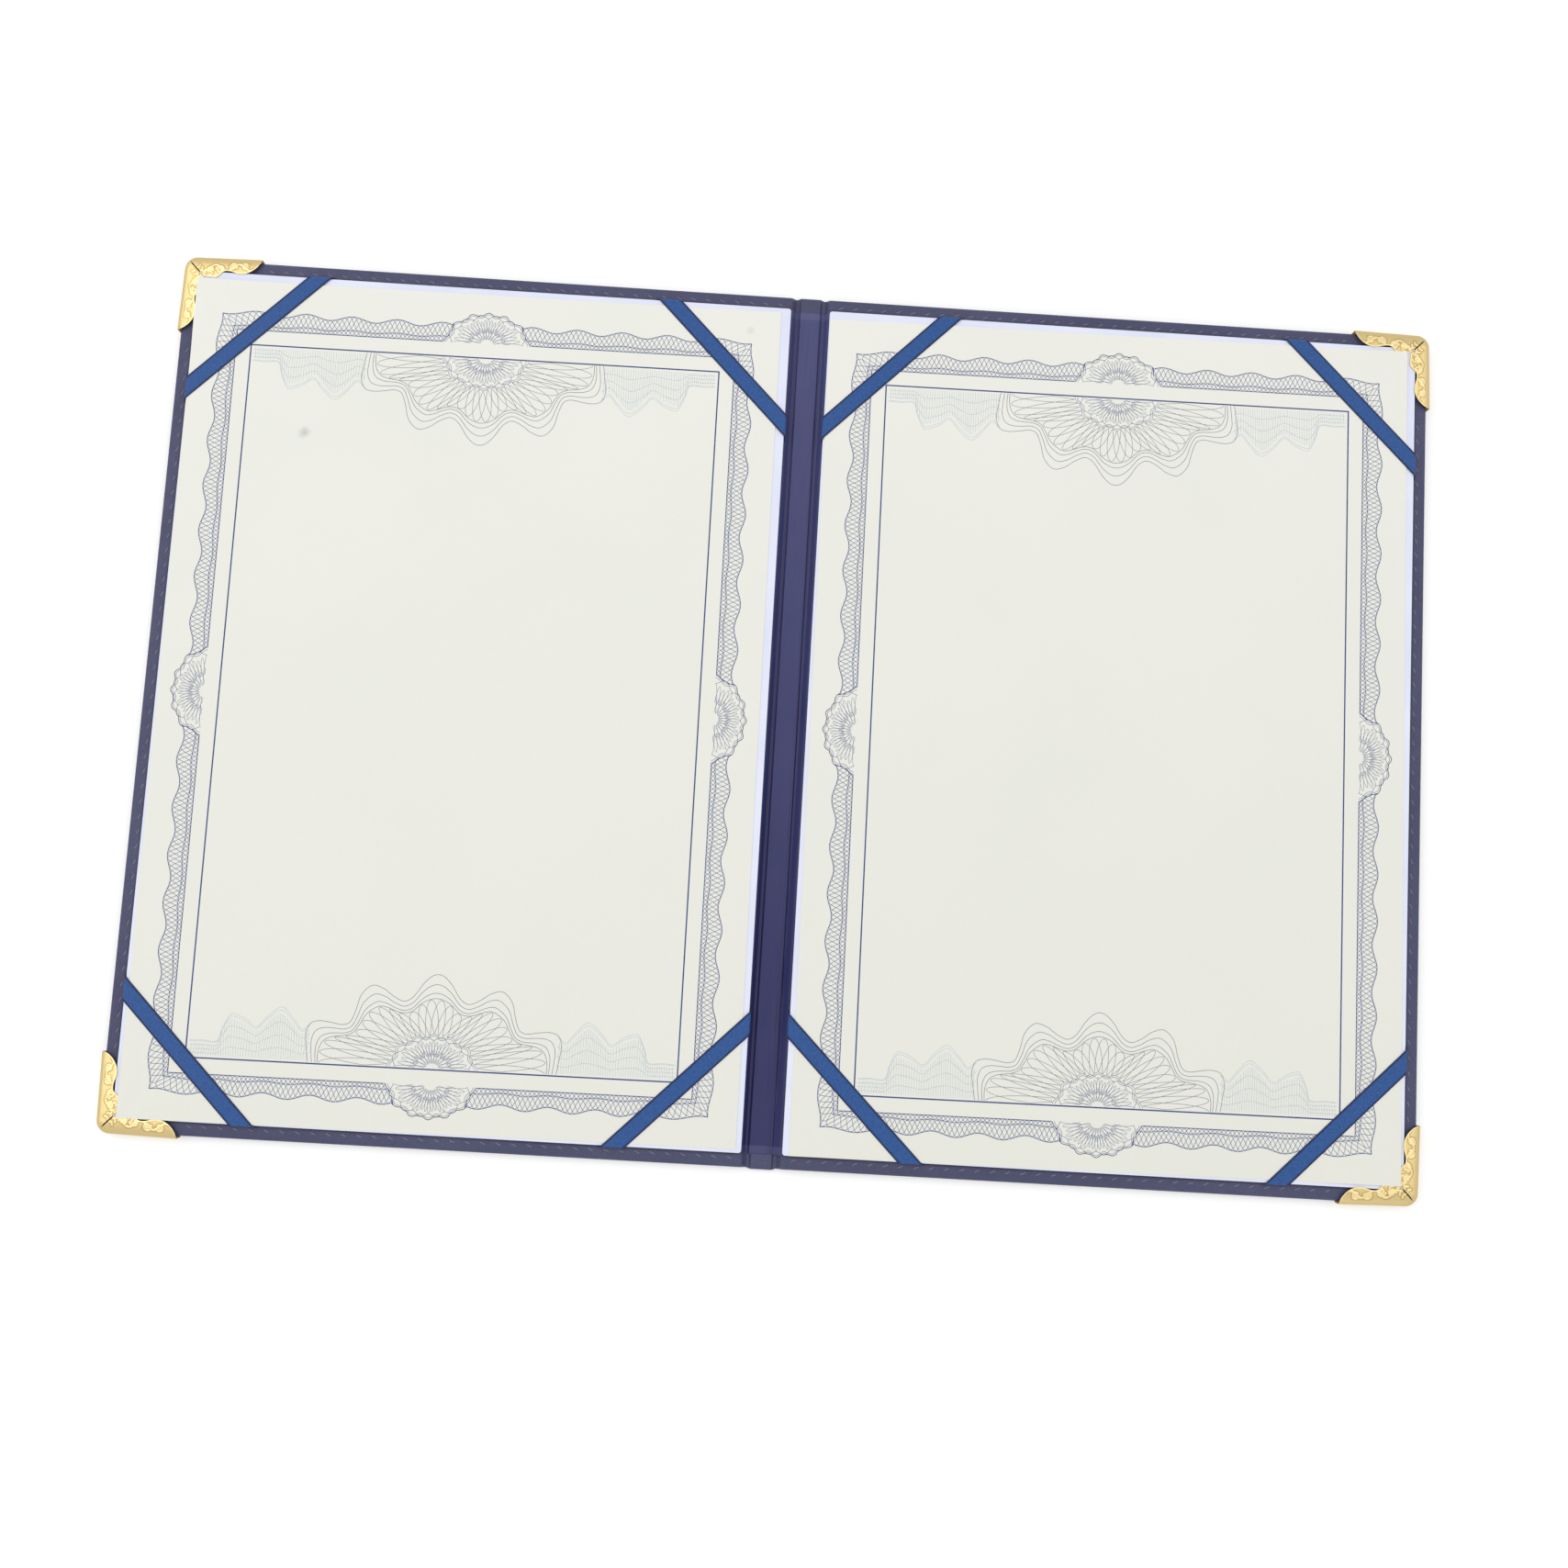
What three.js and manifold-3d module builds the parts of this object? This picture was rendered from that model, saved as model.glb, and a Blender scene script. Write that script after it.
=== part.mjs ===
// A padded diploma cover, lying open on a table with its inner side up.
// Millimetres, +Z up, +Y towards the head of the sheets. The origin is on the table, at the middle
// of the spine. The back cover is on the +X side and the front cover is its mirror image.
// Each cover hinges on the spine along a crease: a soft groove where only the outer skin and the
// inner lining run through. The hinge axes lie at the top of the grooves.

import * as THREE from "three";
import { mergeVertices } from "three/addons/utils/BufferGeometryUtils.js";
import Module from "manifold-3d";

const wasm = await Module();
wasm.setup();

// Certificate sheet: A4 card, lying a little off centre on each panel.
const sheetWidth = 210;
const sheetHeight = 297;
const sheetThickness = 0.25;
const sheetSlackAcross = 3.5; // panel width left over beside the sheet
const sheetSlackAlong = 3; // panel height left over beside the sheet
const frontSheetMargin = 2.7; // from the panel's spine edge to the sheet, halfway up
const backSheetMargin = 1.3;
const frontSheetTurn = 0.3; // degrees that the loose sheet lies askew, head to the left
const backSheetTurn = 0.38;
const sheetFootMargin = 1.1;

// Card panel that the sheet lies on, held down over the ribbon tails.
const panelThickness = 1;
const panelCornerRadius = 1;

// Padded cover, from the table up: skin, foam, board and the skin turned in over the board.
const borderWidth = 5; // skin that shows round the panel
const skinThickness = 0.5;
const foamThickness = 1.2;
const boardThickness = 1.8;
const turnInWidth = 12;
const coverCornerRadius = 4;
const wantedEdgeRadius = 1.4;
const crownRise = 0.9; // how far the padding falls away towards the edge
const crownReach = 22;

// Spine and creases.
const liningThickness = 0.4;
const stiffenerThickness = 1.1;
const grooveDepth = 0.5; // of the crease in the outer side
const grooveRun = 2.6; // slope from the crease to the padding
const hingeToPanel = 2.35;
const hingeGap = 0.3; // between the spine's pieces and a cover's, at the crease
const closedClearance = 0.48; // between the two inner sides of the closed cover
const shoulderToHinge = 0.9; // from the raised strip of the spine to the hinge axis
const shoulderRun = 0.2;
const stiffenerToHinge = 1.25;
const bevelToHinge = 0.65;
const bevelRun = 0.8;
const spineOverhang = 0.5; // the spine is this much longer than a cover, at each end
const spineEndRadius = 0.55;
const liningEndInset = 5; // from the head or foot of a cover to the lining
const wingFlange = 12; // lining glued onto the board under the panel

// Corner ribbons: satin tape across each corner of a panel, its tails glued under the panel.
const ribbonWidth = 6;
const ribbonThickness = 0.25;
const ribbonFromCorner = 43.5; // along the panel's edges
const ribbonTail = 10;
const ribbonBulge = 0.6; // how far the tape stands off the panel's edge

// Metal corners, stamped from sheet and folded round the outer corners of the covers.
const metalThickness = 0.3;
const metalTableGap = 0.02;
const metalGap = 0.05;
const metalLeg = 27;
const metalFoldRun = 0.7;
const metalFoldRise = 1;
const metalLobes = [5.8, 4.9, 7.4, 7.2]; // outer lobe, notch, inner lobe and inner corner
const metalLobePlaces = [20.5, 15.2, 11]; // of the first three, along the leg
const metalFlare = 0.022; // how much the legs spread, per length
const mitreStart = 2;
const mitreWidth = 0.45;

// Print on the sheet: a frame line, a wavy band round it, and an ornament at head and foot.
const inkThickness = 0.05;
const frameSideInset = 21;
const frameEndInset = 22.25;
const frameLineWidth = 0.5;
const bandGap = 5;
const bandWidth = 6.3;
const bandWave = 0.9;
const bandTip = 5.9;
const wavePitch = 16.5;
const printDrop = 1.5; // of the print below the middle of the sheet
const bandRosetteLength = 30;
const bandRosetteReach = 11.5;
const fanLength = 90;
const fanReach = 31;
const rosetteLobes = 5;
const rosetteLobeDepth = 0.12;
const hillStep = 5.5; // hills beside the fan: a low step, then a ridge of two hills
const hillPlaces = [10.5, 13, 21.7, 30.9, 38.3]; // from the frame's corner
const hillOverlap = 7.5; // of the last hill under the fan
const hillHeights = [10.9, 15, 25.5]; // of the valleys, the low hill and the pull of the high one
const inkGap = 0.3; // between the frame line and the ornament

// Clearances of glued layers, and steps of curves.
const fit = 0.02;
const boardFit = 0.1;
const inkToRibbon = 0.01;
const liningFit = 0.15;
const liftFlat = 2.8; // the sheet is lifted this far in from its edge,
const liftRun = 5.6; // and comes down over this length
const leastRadius = 0.05;
const cornerSteps = 5;
const arcSteps = 4;
const crownSteps = 6;
const waveSteps = 6;
const fanSteps = 48;
const lobeSteps = 5;
const wrapSteps = 8;
const liftSteps = 3;
const mergeDistance = 1e-4;
const beyond = 2; // how far a cutter reaches past what it cuts

// Heights of the layers above the table.
const foamTop = skinThickness + foamThickness;
const boardTop = foamTop + boardThickness;
const turnInTop = boardTop + skinThickness;
const panelBottom = turnInTop + ribbonThickness;
const panelTop = panelBottom + panelThickness;
const sheetTop = panelTop + sheetThickness;
const inkTop = sheetTop + inkThickness;
const ribbonTop = inkTop + inkToRibbon + ribbonThickness;
const grooveSkinTop = grooveDepth + skinThickness;
const grooveTop = grooveSkinTop + liningThickness;
const spineTop = skinThickness + stiffenerThickness + skinThickness;
const edgeRadius = Math.min(wantedEdgeRadius, (turnInTop - crownRise) / 2);

// Places across and along the open cover.
const panelWidth = sheetWidth + sheetSlackAcross;
const panelHeight = sheetHeight + sheetSlackAlong;
const hingeX = ribbonTop - grooveTop + closedClearance / 2;
const panelInner = hingeX + hingeToPanel;
const panelMiddle = panelInner + panelWidth / 2;
const coverOuter = panelInner + panelWidth + borderWidth;
const coverHeight = panelHeight + 2 * borderWidth;
const coverInner = hingeX + hingeGap / 2;
const spineEdge = hingeX - hingeGap / 2;
const boardInner = panelInner + liningThickness;
const spineHalf = coverHeight / 2 + spineOverhang;
const liningHalf = coverHeight / 2 - liningEndInset;
const windowHalf = coverHeight / 2 - turnInWidth;
const shoulder = hingeX - shoulderToHinge;
const sheetMiddleY = -panelHeight / 2 + sheetFootMargin + sheetHeight / 2;
const frameHalfWidth = sheetWidth / 2 - frameSideInset;
const frameHalfHeight = sheetHeight / 2 - frameEndInset;
const metalFlangeTop = panelTop + metalGap + metalThickness;

const materials = {
  leatherette: finish(0x46466a, 0.55),
  lining: finish(0x464771, 0.5),
  foam: finish(0xf1efe8, 1),
  board: finish(0x8f8778, 0.95),
  panel: finish(0xe7eafd, 0.6),
  sheet: finish(0xecece4, 0.7),
  ink: finish(0x8f9fc4, 0.7),
  paleInk: finish(0xc3cbdd, 0.7),
  satin: finish(0x3c69a8, 0.35),
  gilt: finish(0xebcf8a, 0.28, 1),
};

function finish(color, roughness, metalness = 0) {
  return new THREE.MeshStandardMaterial({ color, roughness, metalness });
}

// Solids and geometries.

function toSolid(geometry) {
  const bare = geometry.clone();
  bare.deleteAttribute("normal");
  bare.deleteAttribute("uv");
  const merged = mergeVertices(bare, mergeDistance);
  const vertProperties = Float32Array.from(merged.getAttribute("position").array);
  const triVerts = Uint32Array.from(merged.index.array);
  return new wasm.Manifold(new wasm.Mesh({ numProp: 3, vertProperties, triVerts }));
}

function toGeometry(solid) {
  const { vertProperties, triVerts } = solid.getMesh();
  return indexedGeometry(vertProperties, triVerts);
}

function indexedGeometry(positions, index) {
  const geometry = new THREE.BufferGeometry();
  geometry.setAttribute("position", new THREE.Float32BufferAttribute(positions, 3));
  geometry.setIndex(Array.from(index));
  geometry.computeVertexNormals();
  return geometry;
}

// Closes a skin over rings of equal count, each counter-clockwise when seen from the last ring.
function loft(rings) {
  const count = rings[0].length;
  const last = (rings.length - 1) * count;
  const index = [];
  for (let below = 0; below < last; below += count) {
    for (let i = 0; i < count; i += 1) {
      const next = (i + 1) % count;
      index.push(below + i, below + next, below + count + next);
      index.push(below + i, below + count + next, below + count + i);
    }
  }
  for (let i = 0, j = count - 1; i + 1 < j; i += 1, j -= 1) {
    index.push(i, j, i + 1);
    index.push(last + i, last + i + 1, last + j);
    if (i + 1 < j - 1) {
      index.push(i + 1, j, j - 1);
      index.push(last + i + 1, last + j - 1, last + j);
    }
  }
  return indexedGeometry(rings.flat(2), index);
}

function shapeOf(points) {
  return new THREE.Shape(points.map(([x, y]) => new THREE.Vector2(x, y)));
}

function extrudeUp(shape, bottom, top) {
  const geometry = new THREE.ExtrudeGeometry(shape, { depth: top - bottom, bevelEnabled: false });
  return geometry.translate(0, 0, bottom);
}

// A section drawn in (x, z), run along y from -half to half.
function extrudeAlong(points, half) {
  const geometry = extrudeUp(shapeOf(points), -half, half);
  return geometry.applyMatrix4(new THREE.Matrix4().set(1, 0, 0, 0, 0, 0, -1, 0, 0, 1, 0, 0, 0, 0, 0, 1));
}

// A section drawn in (y, z), run across x from -half to half.
function extrudeAcross(points, half) {
  const geometry = extrudeUp(shapeOf(points), -half, half);
  return geometry.applyMatrix4(new THREE.Matrix4().set(0, 0, 1, 0, 1, 0, 0, 0, 0, 1, 0, 0, 0, 0, 0, 1));
}

function boxSolid(x0, x1, halfY, z0, z1) {
  const geometry = new THREE.BoxGeometry(x1 - x0, 2 * halfY, z1 - z0);
  return toSolid(geometry.translate((x0 + x1) / 2, 0, (z0 + z1) / 2));
}

function quarterArc(centreX, centreY, radius, start) {
  return Array.from({ length: cornerSteps + 1 }, (_, i) => {
    const angle = start + (i / cornerSteps) * (Math.PI / 2);
    return [centreX + radius * Math.cos(angle), centreY + radius * Math.sin(angle)];
  });
}

// The padded edge.

function crownHeight(inset) {
  return crownRise * (1 - inset / crownReach) ** 2;
}

// Section of a padded edge as [inset from the edge, height], lowest first, shrunk by offset:
// the crown of the padding, a round up to the wall, and a round over to the top.
function edgeSection(offset, top, radius) {
  const round = Math.max(radius - offset, leastRadius);
  const centre = offset + round;
  const levels = [];
  for (let i = 0; i <= crownSteps; i += 1) {
    const inset = centre + (crownReach - centre) * (1 - i / crownSteps);
    levels.push([inset, crownHeight(inset) + offset]);
  }
  const lowerCentre = crownHeight(centre) + centre;
  for (let i = 1; i <= arcSteps; i += 1) {
    const angle = (i / arcSteps) * (Math.PI / 2);
    levels.push([centre - round * Math.sin(angle), lowerCentre - round * Math.cos(angle)]);
  }
  for (let i = 0; i <= arcSteps; i += 1) {
    const angle = (i / arcSteps) * (Math.PI / 2);
    levels.push([centre - round * Math.cos(angle), top - centre + round * Math.sin(angle)]);
  }
  return levels;
}

// Outline of a cover at one height: square at the spine, rounded at the outer corners.
function coverRing(spineX, inset, height) {
  const x = coverOuter - inset;
  const y = coverHeight / 2 - inset;
  const radius = Math.max(coverCornerRadius - inset, leastRadius);
  const outline = [
    [spineX, -y],
    ...quarterArc(x - radius, radius - y, radius, -Math.PI / 2),
    ...quarterArc(x - radius, y - radius, radius, 0),
    [spineX, y],
  ];
  return outline.map(([px, py]) => [px, py, height]);
}

function coverEnvelope(spineX, offset) {
  const levels = edgeSection(offset, turnInTop, edgeRadius);
  return toSolid(loft(levels.map(([inset, height]) => coverRing(spineX, inset, height))));
}

// Everything below the crease and the slope that leads from it down to the padding.
function grooveCutter(lift) {
  const slopeEnd = panelInner + grooveRun;
  return toSolid(extrudeAlong([
    [spineEdge - beyond, -beyond],
    [slopeEnd, -beyond],
    [slopeEnd, lift],
    [panelInner, grooveDepth + lift],
    [spineEdge - beyond, grooveDepth + lift],
  ], coverHeight / 2 + beyond));
}

// Cover pieces, in the back cover's place.

function coverSkin() {
  const cavity = coverEnvelope(boardInner - fit, skinThickness).subtract(grooveCutter(skinThickness));
  const window = boxSolid(panelInner - fit, coverOuter - turnInWidth, windowHalf, boardTop, turnInTop + beyond);
  const wallSlot = boxSolid(panelInner - beyond, boardInner, windowHalf, grooveSkinTop, turnInTop + beyond);
  const overLining = boxSolid(0, panelInner, liningHalf, grooveSkinTop, turnInTop + beyond);
  const overGroove = boxSolid(0, panelInner, coverHeight, grooveTop, turnInTop + beyond);
  return toGeometry(coverEnvelope(coverInner, 0)
    .subtract(grooveCutter(0))
    .subtract(cavity)
    .subtract(window)
    .subtract(wallSlot)
    .subtract(overLining)
    .subtract(overGroove));
}

function foamPad() {
  const belowBoard = boxSolid(0, coverOuter + beyond, coverHeight, -beyond, foamTop);
  return toGeometry(coverEnvelope(boardInner, skinThickness + fit)
    .subtract(grooveCutter(skinThickness + fit))
    .intersect(belowBoard));
}

function coverBoard() {
  const outline = coverRing(boardInner, edgeRadius + boardFit, 0);
  return extrudeUp(shapeOf(outline), foamTop, boardTop);
}

// The half of the lining that belongs to a cover: from the crease it slopes up to the board's edge
// and runs onto the board, where the panel covers it. Beside the turned-in skin it stops at the edge.
function liningWing() {
  const crest = panelInner - liningFit;
  const foot = coverInner + liningFit;
  const crestTop = boardTop + liningThickness;
  const run = crest - foot;
  const rise = crestTop - grooveTop;
  const shift = (liningThickness * (Math.hypot(run, rise) - run)) / rise; // keeps its thickness
  const section = [
    [coverInner, grooveSkinTop],
    [foot + shift, grooveSkinTop],
    [crest + shift, boardTop],
    [panelInner + wingFlange, boardTop],
    [panelInner + wingFlange, crestTop],
    [crest, crestTop],
    [foot, grooveTop],
    [coverInner, grooveTop],
  ];
  const long = toSolid(extrudeAlong(section, liningHalf - liningFit));
  const short = toSolid(extrudeAlong(section, windowHalf - liningFit));
  const besideTurnIn = boxSolid(coverInner - beyond, crest, coverHeight, 0, panelTop);
  return toGeometry(long.intersect(besideTurnIn).add(short));
}

function panel() {
  const x = panelWidth / 2 - panelCornerRadius;
  const y = panelHeight / 2 - panelCornerRadius;
  const outline = [
    ...quarterArc(x, y, panelCornerRadius, 0),
    ...quarterArc(-x, y, panelCornerRadius, Math.PI / 2),
    ...quarterArc(-x, -y, panelCornerRadius, Math.PI),
    ...quarterArc(x, -y, panelCornerRadius, -Math.PI / 2),
  ];
  return extrudeUp(shapeOf(outline), panelBottom, panelTop);
}

// Spine pieces.

// A section's edge mirrored at both ends of the spine, as an outline in (y, z).
function spineEnds(offset) {
  const levels = edgeSection(offset, spineTop, spineEndRadius);
  const head = levels.map(([inset, height]) => [spineHalf - inset, height]);
  const foot = levels.map(([inset, height]) => [inset - spineHalf, height]).reverse();
  return toSolid(extrudeAcross([...head, ...foot], hingeX + beyond));
}

function mirrored(points) {
  return [...points, ...points.map(([x, z]) => [-x, z]).reverse()];
}

function spineStiffenerSolid(clearance) {
  const half = hingeX - stiffenerToHinge + clearance;
  const section = mirrored([[half, 0], [half, spineTop]]);
  const prism = toSolid(extrudeAlong(section, spineHalf + beyond));
  return prism.intersect(spineEnds(skinThickness + fit - clearance));
}

function spineSkin() {
  const bevelOut = hingeX - bevelToHinge;
  const section = mirrored([
    [bevelOut - bevelRun, 0],
    [bevelOut, grooveDepth],
    [spineEdge, grooveDepth],
    [spineEdge, grooveTop],
    [shoulder + shoulderRun, grooveTop],
    [shoulder, spineTop],
  ]);
  const body = toSolid(extrudeAlong(section, spineHalf + beyond)).intersect(spineEnds(0));
  const stiffenerHalf = hingeX - stiffenerToHinge + fit;
  const overFlanks = boxSolid(-hingeX, hingeX, liningHalf, grooveSkinTop, spineTop + beyond);
  const overMiddle = boxSolid(-stiffenerHalf, stiffenerHalf, liningHalf, foamTop, spineTop + beyond);
  return toGeometry(body
    .subtract(spineStiffenerSolid(fit))
    .subtract(overFlanks)
    .subtract(overMiddle));
}

// The lining over the spine: a flat strip with a raised middle over the stiffener.
function spineLining() {
  const drop = spineTop - liningThickness;
  const section = mirrored([
    [shoulder - liningThickness + fit, drop],
    [shoulder + shoulderRun - liningThickness + fit, grooveSkinTop],
    [spineEdge, grooveSkinTop],
    [spineEdge, grooveTop],
    [shoulder + shoulderRun, grooveTop],
    [shoulder, spineTop],
  ]);
  return extrudeAlong(section, liningHalf - liningFit);
}

// The certificate: flat, but lifted at its outer corners, where it lies over the metal corners.

function smoothFall(distance, flat, end) {
  const t = THREE.MathUtils.clamp((end - distance) / (end - flat), 0, 1);
  return t * t * (3 - 2 * t);
}

function stepsBetween(from, to, count) {
  return Array.from({ length: count + 1 }, (_, i) => from + ((to - from) * i) / count);
}

function certificate() {
  const lift = metalFlangeTop + fit - panelTop;
  const edgeEnd = liftFlat + liftRun;
  const alongFlat = metalLobePlaces[0] - borderWidth;
  const alongEnd = ribbonFromCorner - ribbonWidth / Math.SQRT2 - sheetSlackAcross - edgeEnd;
  const nearLines = [
    0,
    ...stepsBetween(liftFlat, edgeEnd, liftSteps),
    ...stepsBetween(alongFlat, alongEnd, liftSteps),
  ];
  const columns = [...nearLines, sheetWidth];
  const rows = [...nearLines, ...nearLines.map((line) => sheetHeight - line).reverse()];
  const heightAt = (column, row) => {
    const end = Math.min(row, sheetHeight - row);
    const side = smoothFall(column, liftFlat, edgeEnd) * smoothFall(end, alongFlat, alongEnd);
    const head = smoothFall(end, liftFlat, edgeEnd) * smoothFall(column, alongFlat, alongEnd);
    return panelTop + lift * Math.max(side, head);
  };
  const rings = rows.map((row) => {
    const lower = columns.map((column) => [
      sheetWidth / 2 - column,
      row - sheetHeight / 2,
      heightAt(column, row),
    ]);
    const upper = lower.map(([x, y, z]) => [x, y, z + sheetThickness]);
    return [...lower, ...upper.reverse()];
  });
  return loft(rings);
}

// Print, as films of ink about the middle of the print.

function inkFilm(points) {
  return extrudeUp(shapeOf(points), sheetTop, inkTop);
}

// Points of a lobed half rosette, as [along, outwards] from the middle of its base.
function halfRosette(length, reach) {
  return stepsBetween(0, Math.PI, fanSteps).map((angle) => {
    const wave = Math.cos(2 * rosetteLobes * (angle - Math.PI / 2));
    const size = (1 + rosetteLobeDepth * wave) / (1 + rosetteLobeDepth);
    return [(length / 2) * size * Math.cos(angle), reach * size * Math.sin(angle)];
  });
}

// One wavy side of the band as [along, outwards], ending before the corner tip.
function wavySide(length) {
  const waves = Math.round(length / wavePitch);
  return stepsBetween(-length / 2, length / 2, waves * waveSteps).map((along) => {
    const phase = 2 * Math.PI * waves * (along / length + 0.5);
    return [along, bandWidth - bandWave * Math.cos(phase)];
  });
}

function printBand() {
  const x = frameHalfWidth + bandGap;
  const y = frameHalfHeight + bandGap;
  const outline = [
    ...wavySide(2 * x).map(([along, out]) => [along, -y - out]),
    [x + bandTip, -y - bandTip],
    ...wavySide(2 * y).map(([along, out]) => [x + out, along]),
    [x + bandTip, y + bandTip],
    ...wavySide(2 * x).map(([along, out]) => [-along, y + out]),
    [-x - bandTip, y + bandTip],
    ...wavySide(2 * y).map(([along, out]) => [-x - out, -along]),
    [-x - bandTip, -y - bandTip],
  ];
  const rosette = halfRosette(bandRosetteLength, bandRosetteReach);
  const hole = boxSolid(-x, x, y, sheetTop - beyond, inkTop + beyond);
  return toGeometry(toSolid(inkFilm(outline))
    .add(toSolid(inkFilm(rosette.map(([along, out]) => [along, y + out]))))
    .add(toSolid(inkFilm(rosette.map(([along, out]) => [-along, -y - out]))))
    .add(toSolid(inkFilm(rosette.map(([along, out]) => [x + out, -along]))))
    .add(toSolid(inkFilm(rosette.map(([along, out]) => [-x - out, along]))))
    .subtract(hole));
}

function printFrame() {
  const frame = boxSolid(-frameHalfWidth, frameHalfWidth, frameHalfHeight, sheetTop, inkTop);
  const innerX = frameHalfWidth - frameLineWidth;
  const innerY = frameHalfHeight - frameLineWidth;
  return toGeometry(frame.subtract(boxSolid(-innerX, innerX, innerY, sheetTop - beyond, inkTop + beyond)));
}

// The ornament at the foot, inside the frame: a half rosette between two rows of hills.
function printOrnament() {
  const base = -frameHalfHeight + frameLineWidth + inkGap;
  const edge = frameHalfWidth - frameLineWidth - inkGap;
  const hills = new THREE.Shape();
  hills.moveTo(edge, base);
  hills.lineTo(edge, base + hillStep);
  hills.lineTo(edge - hillPlaces[0], base + hillStep);
  hills.lineTo(edge - hillPlaces[1], base + hillHeights[1]);
  hills.quadraticCurveTo(edge - hillPlaces[2], base + hillHeights[1], edge - hillPlaces[2], base + hillHeights[0]);
  hills.quadraticCurveTo(edge - hillPlaces[3], base + hillHeights[2], edge - hillPlaces[4], base + hillHeights[0]);
  hills.lineTo(fanLength / 2 - hillOverlap, base + hillHeights[1]);
  hills.lineTo(fanLength / 2 - hillOverlap, base);
  const points = hills.getPoints(arcSteps).map(({ x, y }) => [x, y]);
  const fan = halfRosette(fanLength, fanReach).map(([along, out]) => [along, base + out]);
  return toGeometry(toSolid(inkFilm(fan))
    .add(toSolid(inkFilm(points)))
    .add(toSolid(inkFilm(points.map(([x, y]) => [-x, y])))));
}

// A ribbon over the outer head corner of a panel centred on the origin. Each ring is the tape's
// cut along the panel's edge; round the edge the cut travels sideways as far as the tape turns.
function ribbon() {
  const half = ribbonWidth / Math.SQRT2;
  const middle = (panelBottom - ribbonThickness / 2 + inkTop + inkToRibbon + ribbonThickness / 2) / 2;
  const rise = ribbonTop - middle;
  const drop = middle - turnInTop;
  const wrap = [];
  let travel = 0;
  let before = null;
  for (const angle of stepsBetween(0, Math.PI, wrapSteps)) {
    const side = Math.cos(angle) > 0 ? rise : drop;
    const outer = [ribbonBulge * Math.sin(angle), middle + side * Math.cos(angle)];
    const inner = [
      (ribbonBulge - ribbonThickness) * Math.sin(angle),
      middle + (side - ribbonThickness) * Math.cos(angle),
    ];
    if (before) travel += Math.hypot(outer[0] - before[0], outer[1] - before[1]);
    before = outer;
    wrap.push({ travel, outer, inner });
  }
  const tail = ribbonTail / Math.SQRT2;
  const last = wrap.at(-1);
  const end = { travel: travel + tail, outer: [-tail, last.outer[1]], inner: [-tail, last.inner[1]] };
  const onEdge = [...wrap, end];
  const ring = ({ travel: along, outer, inner }, place) => [
    place(along - half, inner),
    place(along - half, outer),
    place(along + half, outer),
    place(along + half, inner),
  ];
  const atHead = (along, [out, z]) => [panelWidth / 2 - ribbonFromCorner - along, panelHeight / 2 + out, z];
  const atSide = (along, [out, z]) => [panelWidth / 2 + out, panelHeight / 2 - ribbonFromCorner - along, z];
  const headRings = onEdge.map((station) => ring(station, atHead)).reverse();
  const sideRings = onEdge.map((station) => ring(station, atSide));
  return loft([...headRings, ...sideRings]);
}

// A metal corner. p and q run inwards from the cover's two outer edges.

// Section of the folded sheet as [inset, height], lowest first: one face of it for each offset.
function metalSection(offset) {
  const wall = metalGap + metalThickness - offset;
  const upperRise = metalFlangeTop - offset - turnInTop;
  const lowerRise = metalFoldRise - offset;
  const levels = [];
  for (const angle of stepsBetween(0, Math.PI / 2, arcSteps)) {
    levels.push([
      metalFoldRun - (metalFoldRun + wall) * Math.sin(angle),
      metalTableGap + metalFoldRise - lowerRise * Math.cos(angle),
    ]);
  }
  for (const angle of stepsBetween(0, Math.PI / 2, arcSteps)) {
    levels.push([
      borderWidth - (borderWidth + wall) * Math.cos(angle),
      turnInTop + upperRise * Math.sin(angle),
    ]);
  }
  return levels;
}

function metalEnvelope(offset, span) {
  const ring = ([inset, height]) => {
    const radius = Math.max(coverCornerRadius - inset, leastRadius);
    const outline = [
      [span, inset],
      [span, span],
      [inset, span],
      ...quarterArc(inset + radius, inset + radius, radius, Math.PI),
    ];
    return outline.map(([p, q]) => [p, q, height]);
  };
  return toSolid(loft(metalSection(offset).map(ring)));
}

// Outline of both legs in (p, q): scalloped inner edges that meet in an inner corner.
function metalOutline() {
  const [outerLobe, notch, innerLobe, innerCorner] = metalLobes;
  const [outerPlace, notchPlace, innerPlace] = metalLobePlaces;
  const between = (a, b) => (a + b) / 2;
  const edge = new THREE.Shape();
  edge.moveTo(-beyond, -beyond);
  edge.lineTo(-beyond, metalLeg);
  edge.lineTo(0, metalLeg);
  edge.bezierCurveTo(between(0, outerLobe), metalLeg, outerLobe, between(metalLeg, outerPlace), outerLobe, outerPlace);
  const toNotch = between(outerPlace, notchPlace);
  edge.bezierCurveTo(outerLobe, toNotch, notch, toNotch, notch, notchPlace);
  const toInner = between(notchPlace, innerPlace);
  edge.bezierCurveTo(notch, toInner, innerLobe, toInner, innerLobe, innerPlace);
  edge.lineTo(innerCorner, innerCorner);
  const points = edge.getPoints(lobeSteps).map(({ x, y }) => [x, y]);
  const otherLeg = points.slice(1, -1).map(([p, q]) => [q, p]).reverse();
  return [...points, ...otherLeg];
}

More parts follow.
